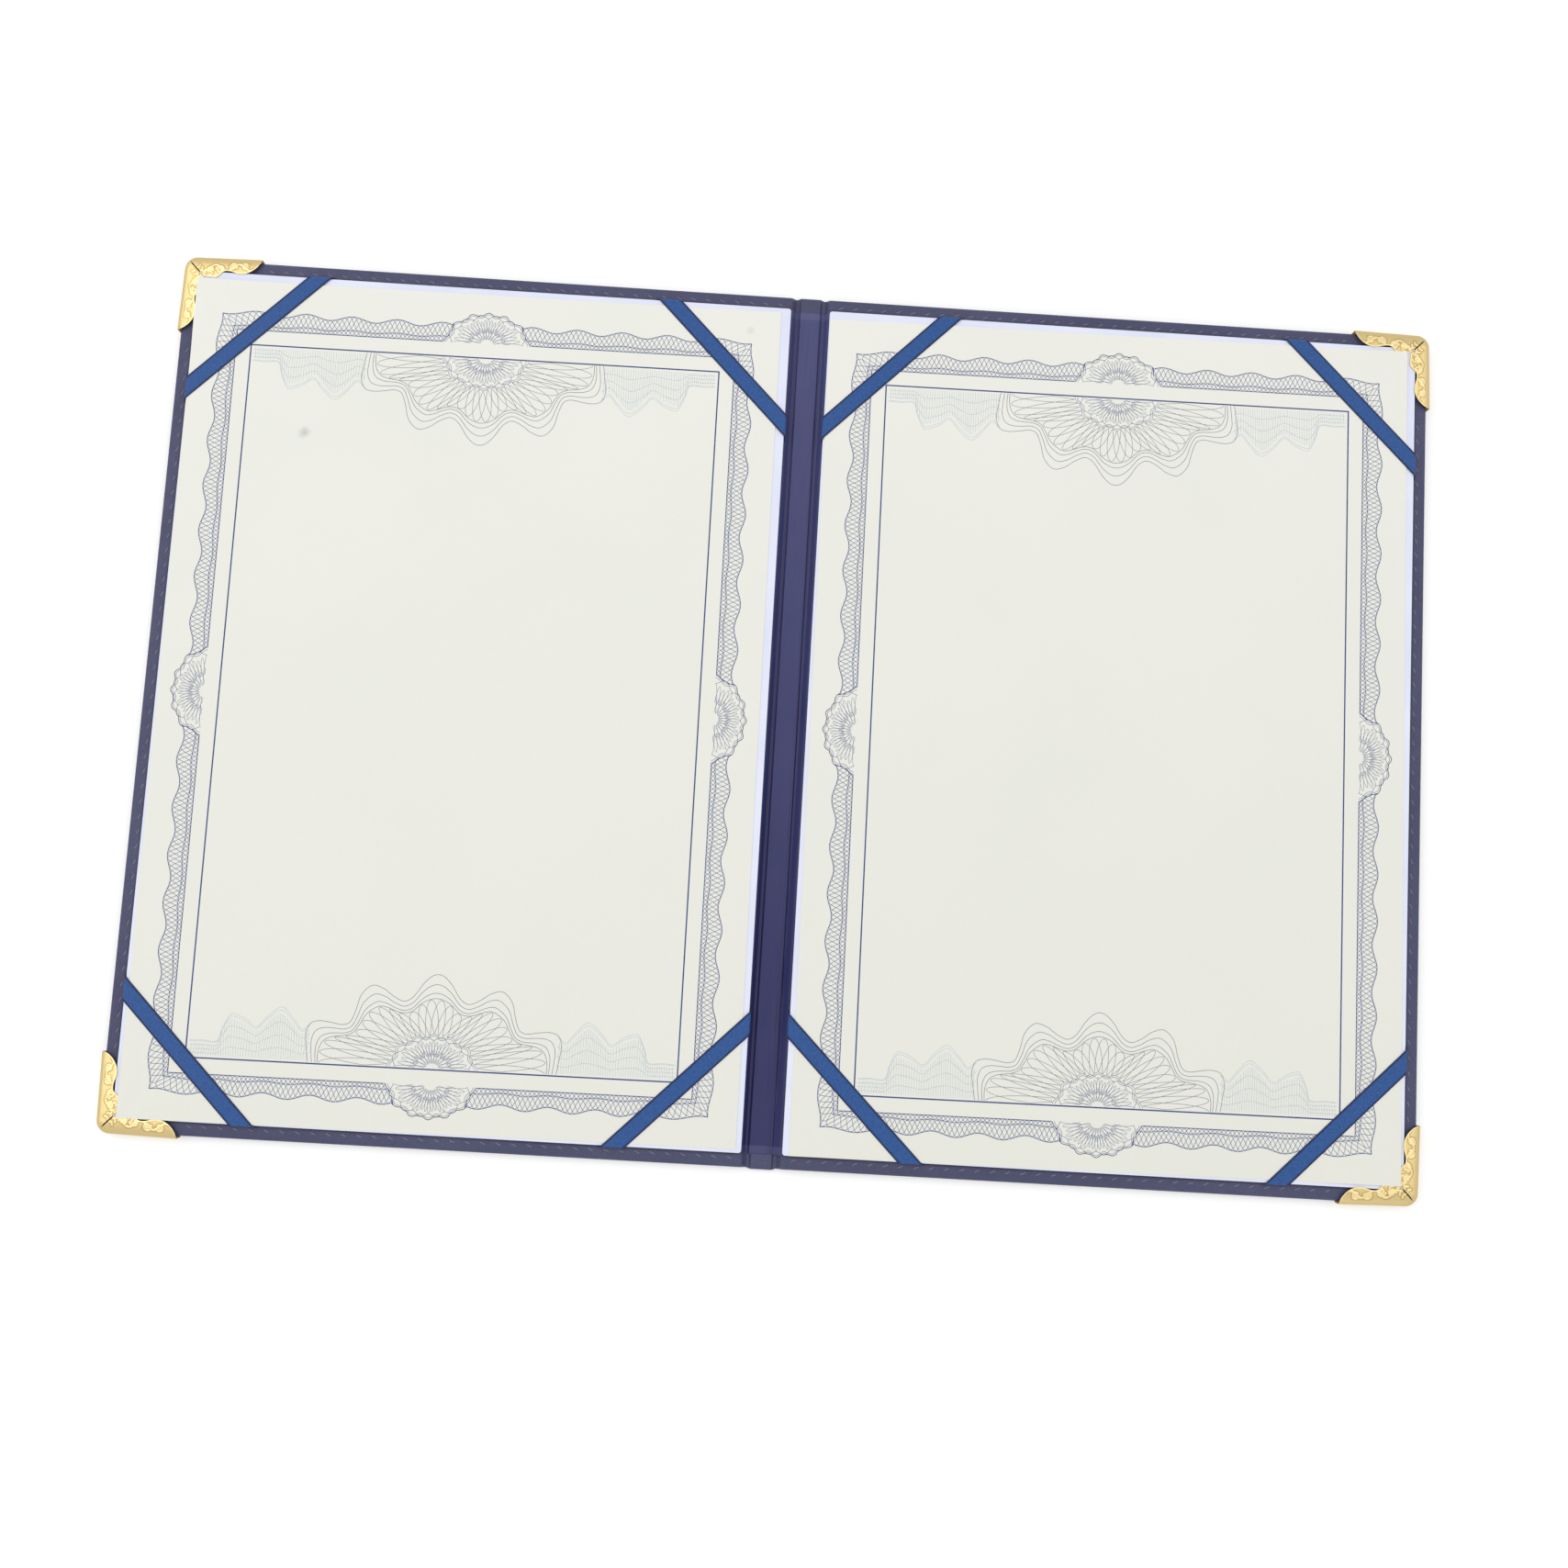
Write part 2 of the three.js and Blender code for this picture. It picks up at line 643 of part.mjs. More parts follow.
function metalCorner() {
  const span = metalLeg + beyond;
  const sheetMetal = metalEnvelope(0, span).subtract(metalEnvelope(metalThickness, span + beyond));
  const legs = toSolid(extrudeUp(shapeOf(metalOutline()), -beyond, metalFlangeTop + beyond));
  const mitreEnd = (mitreStart + span) * Math.SQRT2;
  const mitre = new THREE.BoxGeometry(mitreEnd, mitreWidth, 2 * turnInTop)
    .translate(mitreEnd / 2 + mitreStart * Math.SQRT2, 0, 2 * turnInTop)
    .rotateZ(Math.PI / 4);
  const geometry = toGeometry(sheetMetal.intersect(legs).subtract(toSolid(mitre)));
  const spread = new THREE.Matrix4().set(
    -1, metalFlare, 0, coverOuter,
    metalFlare, -1, 0, coverHeight / 2,
    0, 0, 1, 0,
    0, 0, 0, 1,
  );
  return geometry.applyMatrix4(spread);
}

// Assembly.

function piece(name, geometry, material) {
  const mesh = new THREE.Mesh(geometry, materials[material]);
  mesh.name = name;
  return mesh;
}

const shared = {
  skin: coverSkin(),
  foam: foamPad(),
  board: coverBoard(),
  wing: liningWing(),
  panel: panel(),
  certificate: certificate(),
  band: printBand(),
  frame: printFrame(),
  ornament: printOrnament(),
  ribbon: ribbon(),
  corner: metalCorner(),
};

function printedSheet(name, middleX, turn) {
  const sheet = new THREE.Group();
  const card = piece(`${name}_certificate`, shared.certificate, "sheet");
  const print = new THREE.Group();
  print.position.y = -printDrop;
  const footOrnament = piece(`${name}_print_ornament_foot`, shared.ornament, "paleInk");
  const headOrnament = piece(`${name}_print_ornament_head`, shared.ornament, "paleInk");
  headOrnament.scale.y = -1;
  print.add(
    piece(`${name}_print_band`, shared.band, "ink"),
    piece(`${name}_print_frame`, shared.frame, "ink"),
    footOrnament,
    headOrnament,
  );
  sheet.position.set(middleX, sheetMiddleY, 0);
  sheet.rotation.z = THREE.MathUtils.degToRad(turn);
  sheet.add(card, print);
  return sheet;
}

function ribbonSet(name) {
  const set = new THREE.Group();
  set.position.x = panelMiddle;
  for (const [end, scaleY] of [["head", 1], ["foot", -1]]) {
    for (const [side, scaleX] of [["outer", 1], ["spine", -1]]) {
      const tape = piece(`${name}_ribbon_${end}_${side}`, shared.ribbon, "satin");
      tape.scale.set(scaleX, scaleY, 1);
      set.add(tape);
    }
  }
  return set;
}

function cover(name, side, sheetMargin, sheetTurn) {
  const group = new THREE.Group();
  const panelMesh = piece(`${name}_lining_panel`, shared.panel, "panel");
  panelMesh.position.x = panelMiddle;
  const footCorner = piece(`${name}_corner_foot`, shared.corner, "gilt");
  footCorner.scale.y = -1;
  group.add(
    piece(`${name}_cover_skin`, shared.skin, "leatherette"),
    piece(`${name}_foam_pad`, shared.foam, "foam"),
    piece(`${name}_board`, shared.board, "board"),
    piece(`${name}_spine_lining_wing`, shared.wing, "lining"),
    panelMesh,
    printedSheet(name, panelInner + sheetMargin + sheetWidth / 2, side * sheetTurn),
    ribbonSet(name),
    piece(`${name}_corner_head`, shared.corner, "gilt"),
    footCorner,
  );
  group.scale.x = side;
  return group;
}

function spine() {
  const group = new THREE.Group();
  group.add(
    piece("spine_skin", spineSkin(), "leatherette"),
    piece("spine_stiffener", toGeometry(spineStiffenerSolid(0)), "board"),
    piece("spine_lining", spineLining(), "lining"),
  );
  return group;
}

const diplomaCover = new THREE.Group();
diplomaCover.add(
  cover("back", 1, backSheetMargin, backSheetTurn),
  spine(),
  cover("front", -1, frontSheetMargin, frontSheetTurn),
);

export default diplomaCover;
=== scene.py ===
import math
import bpy
import bmesh
import numpy as np
from mathutils import Matrix


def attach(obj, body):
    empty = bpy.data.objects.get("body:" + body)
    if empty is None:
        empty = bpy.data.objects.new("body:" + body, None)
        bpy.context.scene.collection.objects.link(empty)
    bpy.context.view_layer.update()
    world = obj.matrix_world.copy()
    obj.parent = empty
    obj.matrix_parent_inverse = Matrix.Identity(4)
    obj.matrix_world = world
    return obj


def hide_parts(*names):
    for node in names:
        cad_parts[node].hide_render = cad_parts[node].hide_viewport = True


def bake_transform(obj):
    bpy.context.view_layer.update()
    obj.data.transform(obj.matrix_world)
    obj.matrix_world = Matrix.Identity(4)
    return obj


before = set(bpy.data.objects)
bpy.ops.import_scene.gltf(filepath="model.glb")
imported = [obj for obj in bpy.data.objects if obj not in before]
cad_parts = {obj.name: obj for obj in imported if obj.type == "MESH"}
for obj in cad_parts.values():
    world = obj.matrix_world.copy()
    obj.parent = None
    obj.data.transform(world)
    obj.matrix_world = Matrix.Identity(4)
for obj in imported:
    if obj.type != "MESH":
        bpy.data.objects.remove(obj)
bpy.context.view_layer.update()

# Lengths are in millimetres until a mesh is made. The book lies open, its inner side up,
# the head of the sheets towards +Y. Shapes are drawn for the back cover, on the +X side.
mm = 0.001
sides = {"back": 1, "front": -1}
hinges = {"back": "back_cover", "front": "front_cover"}

# Sizes that several pieces share, as in the CAD model.
book = {
    "coverOuter": 225.5,      # from the middle of the spine to a cover's outer edge
    "halfHeight": 155.0,
    "spineHalf": 155.5,
    "cornerRadius": 4.0,
    "panelInner": 7.0,
    "panelWidth": 213.5,
    "panelHeight": 300.0,
    "skinTop": 4.0,
    "panelBottom": 4.25,
    "panelTop": 5.25,
    "sheetTop": 5.5,
    "creaseTop": 1.4,
    "creaseBottom": 0.5,
    "spineTop": 2.1,
    "liningHalf": 150.0,
    "boardTop": 3.5,
}
panelMiddle = book["panelInner"] + book["panelWidth"] / 2


# Meshes

def gridFaces(rows, columns, closed=False):
    # Quads between neighbouring rows and columns of a grid of points.
    # When closed, the last column joins the first.
    r, c = np.meshgrid(np.arange(rows - 1), np.arange(columns if closed else columns - 1), indexing="ij")
    n = (c + 1) % columns
    low, high = r * columns, (r + 1) * columns
    return np.stack([low + c, low + n, high + n, high + c], -1).reshape(-1, 4)


def signedVolume(points, faces):
    # Sum over the faces of corner . (corner x corner) / 6: positive when a closed shell faces outwards.
    total = 0.0
    for part in faces:
        for k in range(1, part.shape[1] - 1):
            a, b, c = points[part[:, 0]], points[part[:, k]], points[part[:, k + 1]]
            total += np.einsum("ij,ij->i", a, np.cross(b, c)).sum() / 6
    return total


def makePiece(name, points, faces, material, body, uv=None, shells=False, smooth=True,
              turned=False):
    # Puts points in millimetres and lists of faces into a mesh at the origin. Closed shells are turned
    # to face outwards, and an open surface is turned over where turned is set.
    points = np.asarray(points, float).reshape(-1, 3)
    faces = [np.asarray(part, int) for part in (faces if isinstance(faces, list) else [faces])]
    if turned or (shells and signedVolume(points, faces) < 0):
        faces = [part[:, ::-1] for part in faces]
    mesh = bpy.data.meshes.new(name)
    corners = np.concatenate([part.ravel() for part in faces])
    totals = np.concatenate([np.full(len(part), part.shape[1]) for part in faces])
    mesh.vertices.add(len(points))
    mesh.vertices.foreach_set("co", (points * mm).astype(np.float32).ravel())
    mesh.loops.add(len(corners))
    mesh.loops.foreach_set("vertex_index", corners.astype(np.int32))
    mesh.polygons.add(len(totals))
    mesh.polygons.foreach_set("loop_start", np.concatenate([[0], np.cumsum(totals)[:-1]]).astype(np.int32))
    mesh.polygons.foreach_set("use_smooth", np.full(len(totals), smooth))
    mesh.update(calc_edges=True)
    if uv is not None:
        layer = mesh.uv_layers.new(name="along")
        layer.data.foreach_set("uv", np.asarray(uv, np.float32).reshape(-1, 2)[corners].ravel())
    piece = bpy.data.objects.new(name, mesh)
    bpy.context.scene.collection.objects.link(piece)
    mesh.materials.append(material)
    if body:
        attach(piece, body)
    return piece


def setValues(piece, name, values):
    # One number for each point, which a material reads by its name.
    attribute = piece.data.attributes.new(name, "FLOAT", "POINT")
    attribute.data.foreach_set("value", np.asarray(values, np.float32).ravel())


def mergePoints(piece, distance=0.002):
    # Joins points that lie together, so that seams and poles close.
    work = bmesh.new()
    work.from_mesh(piece.data)
    bmesh.ops.remove_doubles(work, verts=work.verts, dist=distance * mm)
    bmesh.ops.dissolve_degenerate(work, edges=work.edges, dist=distance * mm / 4)
    work.to_mesh(piece.data)
    work.free()
    piece.data.update()


def addThickness(piece, thickness, hardAngle=40):
    # The wall goes inwards from the modelled face. Edges sharper than hardAngle stay hard.
    wall = piece.modifiers.new("Wall", "SOLIDIFY")
    wall.thickness = thickness * mm
    wall.offset = -1
    wall.use_even_offset = True
    wall.use_quality_normals = True
    made = piece.evaluated_get(bpy.context.evaluated_depsgraph_get())
    mesh = bpy.data.meshes.new_from_object(made)
    mesh.name = piece.name
    piece.modifiers.clear()
    piece.data = mesh
    mesh.set_sharp_from_angle(angle=math.radians(hardAngle))


def smoothStep(value, start, end):
    # 0 before start, 1 after end, t * t * (3 - 2t) between them.
    t = np.clip((np.asarray(value, float) - start) / (end - start), 0, 1)
    return t * t * (3 - 2 * t)


def plateau(value, start, full, fading, end):
    # Rises from 0 at start to 1 at full, and falls from 1 at fading to 0 at end.
    return smoothStep(value, start, full) * (1 - smoothStep(value, fading, end))


def sidePoints(points, side):
    # x times side: -1 mirrors the back cover's shape onto the front cover.
    return np.asarray(points, float) * np.array([side, 1, 1])


# Materials

def linear(red, green, blue):
    # sRGB 0-255 as linear light, ((c + 0.055) / 1.055) to the power 2.4.
    c = np.array([red, green, blue], float) / 255
    return (*np.where(c <= 0.04045, c / 12.92, ((c + 0.055) / 1.055) ** 2.4), 1.0)


def feed(material, socket, value):
    # Links another node's output to the socket, or sets a constant on it.
    if isinstance(value, bpy.types.NodeSocket):
        material.node_tree.links.new(value, socket)
    else:
        socket.default_value = value


def addNode(material, kind, inputs=None, **settings):
    # A shader node with its settings, and a link or a constant on each named input.
    node = material.node_tree.nodes.new("ShaderNode" + kind)
    for key, value in settings.items():
        setattr(node, key, value)
    for key, value in (inputs or {}).items():
        feed(material, node.inputs[key], value)
    return node


def newMaterial(name, color, roughness, metallic=0.0, specular=0.5):
    # A material with its Principled shader's basic constants, the colour as sRGB 0-255.
    material = bpy.data.materials.new(name)
    material.use_nodes = True
    shader = material.node_tree.nodes["Principled BSDF"]
    shader.inputs["Base Color"].default_value = linear(*color)
    shader.inputs["Roughness"].default_value = roughness
    shader.inputs["Metallic"].default_value = metallic
    shader.inputs["Specular IOR Level"].default_value = specular
    return material, shader


def objectPoint(material):
    # Object coordinates, in metres.
    return addNode(material, "TexCoord").outputs["Object"]


def noise(material, point, scale, detail=3.0, roughness=0.55, stretch=None):
    # Fractal noise, 0 to 1, with about scale cells to each unit of the point. A stretch below 1 draws it
    # out along an axis.
    if stretch:
        point = addNode(material, "Mapping", {"Vector": point, "Scale": stretch}).outputs["Vector"]
    inputs = {"Vector": point, "Scale": scale, "Detail": detail, "Roughness": roughness}
    return addNode(material, "TexNoise", inputs).outputs["Fac"]


def spread(material, value, low, high, toLow=0.0, toHigh=1.0):
    # A straight line through (low, toLow) and (high, toHigh), held at its ends.
    inputs = {"Value": value, "From Min": low, "From Max": high, "To Min": toLow, "To Max": toHigh}
    return addNode(material, "MapRange", inputs).outputs["Result"]


def mixColors(material, factor, first, second):
    # first * (1 - factor) + second * factor. The colours are a Mix node's sockets 6 and 7.
    return addNode(material, "Mix", {0: factor, 6: first, 7: second}, data_type="RGBA").outputs[2]


def calculate(material, operation, first, second):
    # One operation on two numbers. ABSOLUTE and SINE leave the second one out.
    return addNode(material, "Math", {0: first, 1: second}, operation=operation).outputs[0]


def joinBump(material, shader, height, distance, strength=1.0, below=None):
    # Bump whose height from 0 to 1 stands for a distance in millimetres, laid over the normal of a
    # coarser bump where below is given.
    inputs = {"Height": height, "Distance": distance * mm, "Strength": strength}
    if below is not None:
        inputs["Normal"] = below
    normal = addNode(material, "Bump", inputs).outputs["Normal"]
    material.node_tree.links.new(normal, shader.inputs["Normal"])
    return normal


def join(material, output, shader, name):
    # Links a node's output to a named input of the shader.
    material.node_tree.links.new(output, shader.inputs[name])


def leatherette(name, color, light, grain):
    # Coated cloth: pebbles from Voronoi cells about a millimetre wide, pores from fine noise.
    material, shader = newMaterial(name, color, 0.5, specular=0.4)
    point = objectPoint(material)
    warp = noise(material, point, 260, 2)
    cells = addNode(material, "TexVoronoi", {"Vector": point, "Scale": grain, "Randomness": 1.0},
                    feature="DISTANCE_TO_EDGE").outputs["Distance"]
    valleys = spread(material, cells, 0.0, 0.3)
    pores = noise(material, point, 2400, 2)
    cloud = noise(material, point, 22, 4)
    tone = mixColors(material, spread(material, cloud, 0.15, 0.85), linear(*color), linear(*light))
    deep = tuple(0.8 * c for c in linear(*color)[:3]) + (1.0,)
    tone = mixColors(material, spread(material, valleys, 0.0, 0.5, 0.75, 0.0), tone, deep)
    # Painted shadow of the panel's edge: the border darkens where its face passes under the panel.
    panelShadow = addNode(material, "Attribute", attribute_name="panelShadow").outputs["Fac"]
    tone = mixColors(material, calculate(material, "MULTIPLY", panelShadow, 0.85), tone, linear(28, 27, 44))
    join(material, tone, shader, "Base Color")
    join(material, spread(material, warp, 0.3, 0.7, 0.42, 0.6), shader, "Roughness")
    first = joinBump(material, shader, valleys, 0.05, 0.7)
    joinBump(material, shader, pores, 0.02, 0.7, first)
    return material


def liningSheet():
    # Smooth coated paper with a faint laid grain along the spine, a painted highlight on the hems at its
    # ends, painted light towards the head and painted shade in the crease.
    color, light = (22, 23, 82), (80, 83, 128)
    material, shader = newMaterial("liningSheet", color, 0.48, specular=0.4)
    point = objectPoint(material)
    streaks = noise(material, point, 900, 3, stretch=(1.0, 0.06, 1.0))
    cloud = noise(material, point, 30, 3)
    height = addNode(material, "SeparateXYZ", {"Vector": point}).outputs["Y"]
    away = calculate(material, "ABSOLUTE", height, 0.0)
    # Painted highlight on the hems, whose slope faces the light.
    hemStart, hemEnd = 147.3 * mm, 147.7 * mm
    hem = spread(material, away, hemStart, hemEnd)
    # Painted light: the lining gets lighter towards the head, where the lamp falls.
    headLight = spread(material, height, -0.09, 0.15)
    cloudy = calculate(material, "MULTIPLY", cloud, 0.25)
    amount = calculate(material, "ADD", cloudy, calculate(material, "MULTIPLY", headLight, 0.6))
    tone = mixColors(material, amount, linear(*color), linear(*light))
    tone = mixColors(material, calculate(material, "MULTIPLY", hem, 0.22), tone, linear(112, 114, 150))
    tone = mixColors(material, spread(material, streaks, 0.4, 0.7, 0.0, 0.25), tone, linear(50, 50, 88))
    # Painted shade: darker along the crease, under the panel's edge and at the lining's ends.
    creaseShade = addNode(material, "Attribute", attribute_name="creaseShade").outputs["Fac"]
    tone = mixColors(material, calculate(material, "MULTIPLY", creaseShade, 0.6), tone, linear(30, 28, 66))
    join(material, tone, shader, "Base Color")
    first = joinBump(material, shader, streaks, 0.03, 0.6)
    joinBump(material, shader, noise(material, point, 420, 4), 0.05, 0.5, first)
    return material


def cardPanel():
    # White card with a lilac cast and a faint mottle.
    material, shader = newMaterial("cardPanel", (232, 235, 253), 0.6, specular=0.3)
    point = objectPoint(material)
    mottle = noise(material, point, 45, 4)
    fibre = noise(material, point, 1500, 3, stretch=(1.0, 0.3, 1.0))
    mottle = spread(material, mottle, 0.3, 0.75)
    tone = mixColors(material, mottle, linear(235, 238, 254), linear(224, 228, 249))
    join(material, tone, shader, "Base Color")
    join(material, spread(material, fibre, 0.3, 0.7, 0.5, 0.68), shader, "Roughness")
    joinBump(material, shader, fibre, 0.015, 0.6)
    return material


# Grey smudges on the left sheet: place in millimetres, radius and strength.
smudges = [(-177.5, 92.6, 2.3, 0.5), (-21.4, 140.7, 1.6, 0.3)]


def certificatePaper():
    # Cream paper with fibres, with painted light that makes it a little lighter at the head, and two grey
    # smudges on the left sheet.
    material, shader = newMaterial("certificatePaper", (236, 236, 228), 0.72, specular=0.25)
    point = objectPoint(material)
    fibre = noise(material, point, 1300, 4, stretch=(1.0, 0.35, 1.0))
    cloud = noise(material, point, 16, 3)
    height = addNode(material, "SeparateXYZ", {"Vector": point}).outputs["Y"]
    # Painted light: a little lighter towards the head, where the lamp falls.
    paperHeadLight = spread(material, height, -0.15, 0.15)
    tone = mixColors(material, paperHeadLight, linear(234, 234, 225), linear(240, 240, 232))
    tone = mixColors(material, spread(material, cloud, 0.4, 0.8, 0.0, 0.35), tone, linear(229, 231, 220))
    tone = mixColors(material, spread(material, fibre, 0.55, 0.85, 0.0, 0.3), tone, linear(246, 246, 240))
    ragged = noise(material, point, 380, 4)
    for placeX, placeY, radius, amount in smudges:
        place = (placeX * mm, placeY * mm, book["sheetTop"] * mm)
        away = addNode(material, "VectorMath", {0: point, 1: place}, operation="DISTANCE").outputs["Value"]
        rough = calculate(material, "ADD", away, calculate(material, "MULTIPLY", ragged, 2.6 * mm))
        mark = spread(material, rough, (radius + 1.6) * mm, radius * 0.55 * mm, 0.0, amount)
        tone = mixColors(material, mark, tone, linear(158, 162, 164))
    join(material, tone, shader, "Base Color")
    joinBump(material, shader, fibre, 0.02, 0.7)
    return material


def printedInk(name, color, light):
    # Offset ink that takes unevenly on the paper's fibres.
    material, shader = newMaterial(name, color, 0.7, specular=0.2)
    point = objectPoint(material)
    patch = noise(material, point, 700, 3)
    tone = mixColors(material, spread(material, patch, 0.35, 0.7), linear(*color), linear(*light))
    join(material, tone, shader, "Base Color")
    return material


def satin(name, color, light):
    # Satin tape on its own UV map, u across and v along in millimetres: fine ribs, floats, a mottle and
    # painted shade along the selvedges.
    material, shader = newMaterial(name, color, 0.42, specular=0.3)
    shader.inputs["Anisotropic"].default_value = 0.5
    shader.inputs["Sheen Weight"].default_value = 0.15
    shader.inputs["Sheen Roughness"].default_value = 0.4
    point = addNode(material, "UVMap", uv_map="along").outputs["UV"]
    split = addNode(material, "SeparateXYZ", {"Vector": point})
    across, length = split.outputs["X"], split.outputs["Y"]
    ribPitch, warpPitch = 0.42, 0.3
    ribs = calculate(material, "SINE", calculate(material, "MULTIPLY", length, 2 * math.pi / ribPitch), 0.0)
    warp = calculate(material, "SINE", calculate(material, "MULTIPLY", across, 2 * math.pi / warpPitch), 0.0)
    floats = addNode(material, "Mapping", {"Vector": point, "Scale": (6.0, 0.5, 1.0)}).outputs["Vector"]
    streak = addNode(material, "TexNoise", {"Vector": floats, "Scale": 1.6, "Detail": 3.0}).outputs["Fac"]
    middle = calculate(material, "ABSOLUTE", across, 0.0)
    # Painted shade along both selvedges.
    edge = spread(material, middle, 2.2, 2.5)
    mottle = noise(material, point, 1.1, 4.0, 0.7)
    ribbed = calculate(material, "MULTIPLY", ribs, 0.5)
    weave = calculate(material, "ADD", ribbed, calculate(material, "MULTIPLY", warp, 0.25))
    tone = mixColors(material, spread(material, streak, 0.3, 0.7), linear(*color), linear(*light))
    tone = mixColors(material, spread(material, weave, -0.6, 0.75, 0.28, 0.0), tone, linear(34, 66, 122))
    tone = mixColors(material, spread(material, mottle, 0.45, 0.62, 0.0, 0.5), tone, linear(20, 56, 118))
    tone = mixColors(material, calculate(material, "MULTIPLY", edge, 0.9), tone, linear(16, 28, 70))
    join(material, tone, shader, "Base Color")
    join(material, spread(material, streak, 0.3, 0.7, 0.36, 0.5), shader, "Roughness")
    joinBump(material, shader, weave, 0.05, 0.5)
    return material


def giltBrass():
    # Lacquered brass with painted shade where the stamped relief is low and a painted highlight where it is
    # high, with fine rubbing along it.
    material, shader = newMaterial("giltBrass", (214, 191, 130), 0.4, metallic=1.0)
    shader.inputs["Coat Weight"].default_value = 0.5
    shader.inputs["Coat Roughness"].default_value = 0.25
    point = objectPoint(material)
    relief = addNode(material, "Attribute", attribute_name="relief").outputs["Fac"]
    cloud = noise(material, point, 120, 4)
    rub = noise(material, point, 1600, 3, stretch=(1.0, 0.15, 1.0))
    # Painted shade in the relief's hollows and painted highlight on its ridges.
    reliefShading = spread(material, relief, -0.35, 0.25)
    tone = mixColors(material, reliefShading, linear(166, 137, 76), linear(226, 206, 152))
    tone = mixColors(material, spread(material, cloud, 0.35, 0.75, 0.0, 0.4), tone, linear(212, 189, 126))
    join(material, tone, shader, "Base Color")
    join(material, spread(material, rub, 0.3, 0.75, 0.28, 0.42), shader, "Roughness")
    joinBump(material, shader, noise(material, point, 900, 4), 0.012, 0.3)
    return material


def coreBoard(name, color, fleck):
    # Pulp board with flecks of fibre.
    material, shader = newMaterial(name, color, 0.95, specular=0.1)
    point = objectPoint(material)
    flecks = noise(material, point, 1100, 4, stretch=(1.0, 0.4, 1.0))
    tone = mixColors(material, spread(material, flecks, 0.45, 0.7), linear(*color), linear(*fleck))
    join(material, tone, shader, "Base Color")
    joinBump(material, shader, flecks, 0.06, 0.7)
    return material


def foamCore():
    # Polyether foam: open cells about half a millimetre wide.
    material, shader = newMaterial("foamCore", (240, 238, 230), 1.0, specular=0.05)
    point = objectPoint(material)
    cells = addNode(material, "TexVoronoi", {"Vector": point, "Scale": 1900.0}).outputs["Distance"]
    rim = spread(material, cells, 0.0, 0.7)
    tone = mixColors(material, rim, linear(214, 210, 196), linear(243, 241, 234))
    join(material, tone, shader, "Base Color")
    joinBump(material, shader, cells, 0.15, 0.8)
    return material


leather = leatherette("leatherette", (60, 61, 92), (80, 82, 114), 1700)
# Stitch beads in the leather's own colour, lifted to a lighter tone as a painted highlight on them.
stitchHighlightStuff = leatherette("stitchBeadHighlight", (100, 102, 124), (118, 120, 140), 2400)
lining = liningSheet()
cardStuff = cardPanel()
paper = certificatePaper()
ink = printedInk("bandInk", (98, 106, 142), (120, 128, 162))
frameInk = printedInk("frameInk", (62, 74, 126), (80, 92, 142))
fanInk = printedInk("fanInk", (124, 128, 142), (144, 148, 160))
paleInk = printedInk("paleInk", (176, 190, 202), (196, 208, 218))
ribbonStuff = satin("satinRibbon", (33, 79, 144), (53, 98, 163))
gilt = giltBrass()
greyBoard = coreBoard("greyBoard", (143, 135, 120), (168, 160, 146))
foam = foamCore()
print("materials are ready")


# Camera and light

camera = {
    "place": (-7.6, -82.2, 547.6),     # millimetres
    "turn": (-0.10866, 0.01776, -0.05885),     # axis times angle, from the book to the camera
    "focal": 1700.0,     # pixels, on a picture of 1708
    "picture": 1708.0,
    "sensor": 36.0,     # millimetres
}


def setCamera():
    # Rodrigues: R = I + sin(t) K + (1 - cos(t)) K K, and the camera's own axes are R turned back.
    turn = np.array(camera["turn"])
    angle = np.linalg.norm(turn)
    k = turn / angle
    cross = np.array([[0, -k[2], k[1]], [k[2], 0, -k[0]], [-k[1], k[0], 0]])
    rotation = np.eye(3) + math.sin(angle) * cross + (1 - math.cos(angle)) * cross @ cross
    data = bpy.data.cameras.new("camera")
    data.sensor_fit = "AUTO"
    data.sensor_width = camera["sensor"]
    data.lens = camera["focal"] / camera["picture"] * camera["sensor"]
    data.clip_start, data.clip_end = 0.01, 20.0
    item = bpy.data.objects.new("camera", data)
    bpy.context.scene.collection.objects.link(item)
    world = np.eye(4)
    world[:3, :3] = rotation.T
    world[:3, 3] = np.array(camera["place"]) * mm
    item.matrix_world = Matrix(world.tolist())
    bpy.context.scene.camera = item


studio = {
    "world": 0.67,
    "lamps": [     # name, place in metres, size, watts
        ("softboxLeft", (-1.1, 0.35, 1.6), 1.9, 12.2),
        ("softboxRight", (1.2, 0.3, 1.6), 1.4, 4.6),
        ("softboxFoot", (0.2, -1.5, 1.2), 1.2, 2.3),
    ],
    "floorSize": 8.0,
    "floorHeight": -0.05,     # millimetres
    "floorColor": 0.8,
    "liftReach": (0.5, 2.0),     # metres from the middle
    "floorLift": (0.3, 0.46),     # at the start and the end of that reach
}


def seenRays(material):
    # 1 for rays from the camera and for those that a glossy or a clear surface sends on, else 0.
    path = addNode(material, "LightPath")
    seen = calculate(material, "MAXIMUM", path.outputs["Is Camera Ray"], path.outputs["Is Glossy Ray"])
    return calculate(material, "MAXIMUM", seen, path.outputs["Is Transmission Ray"])


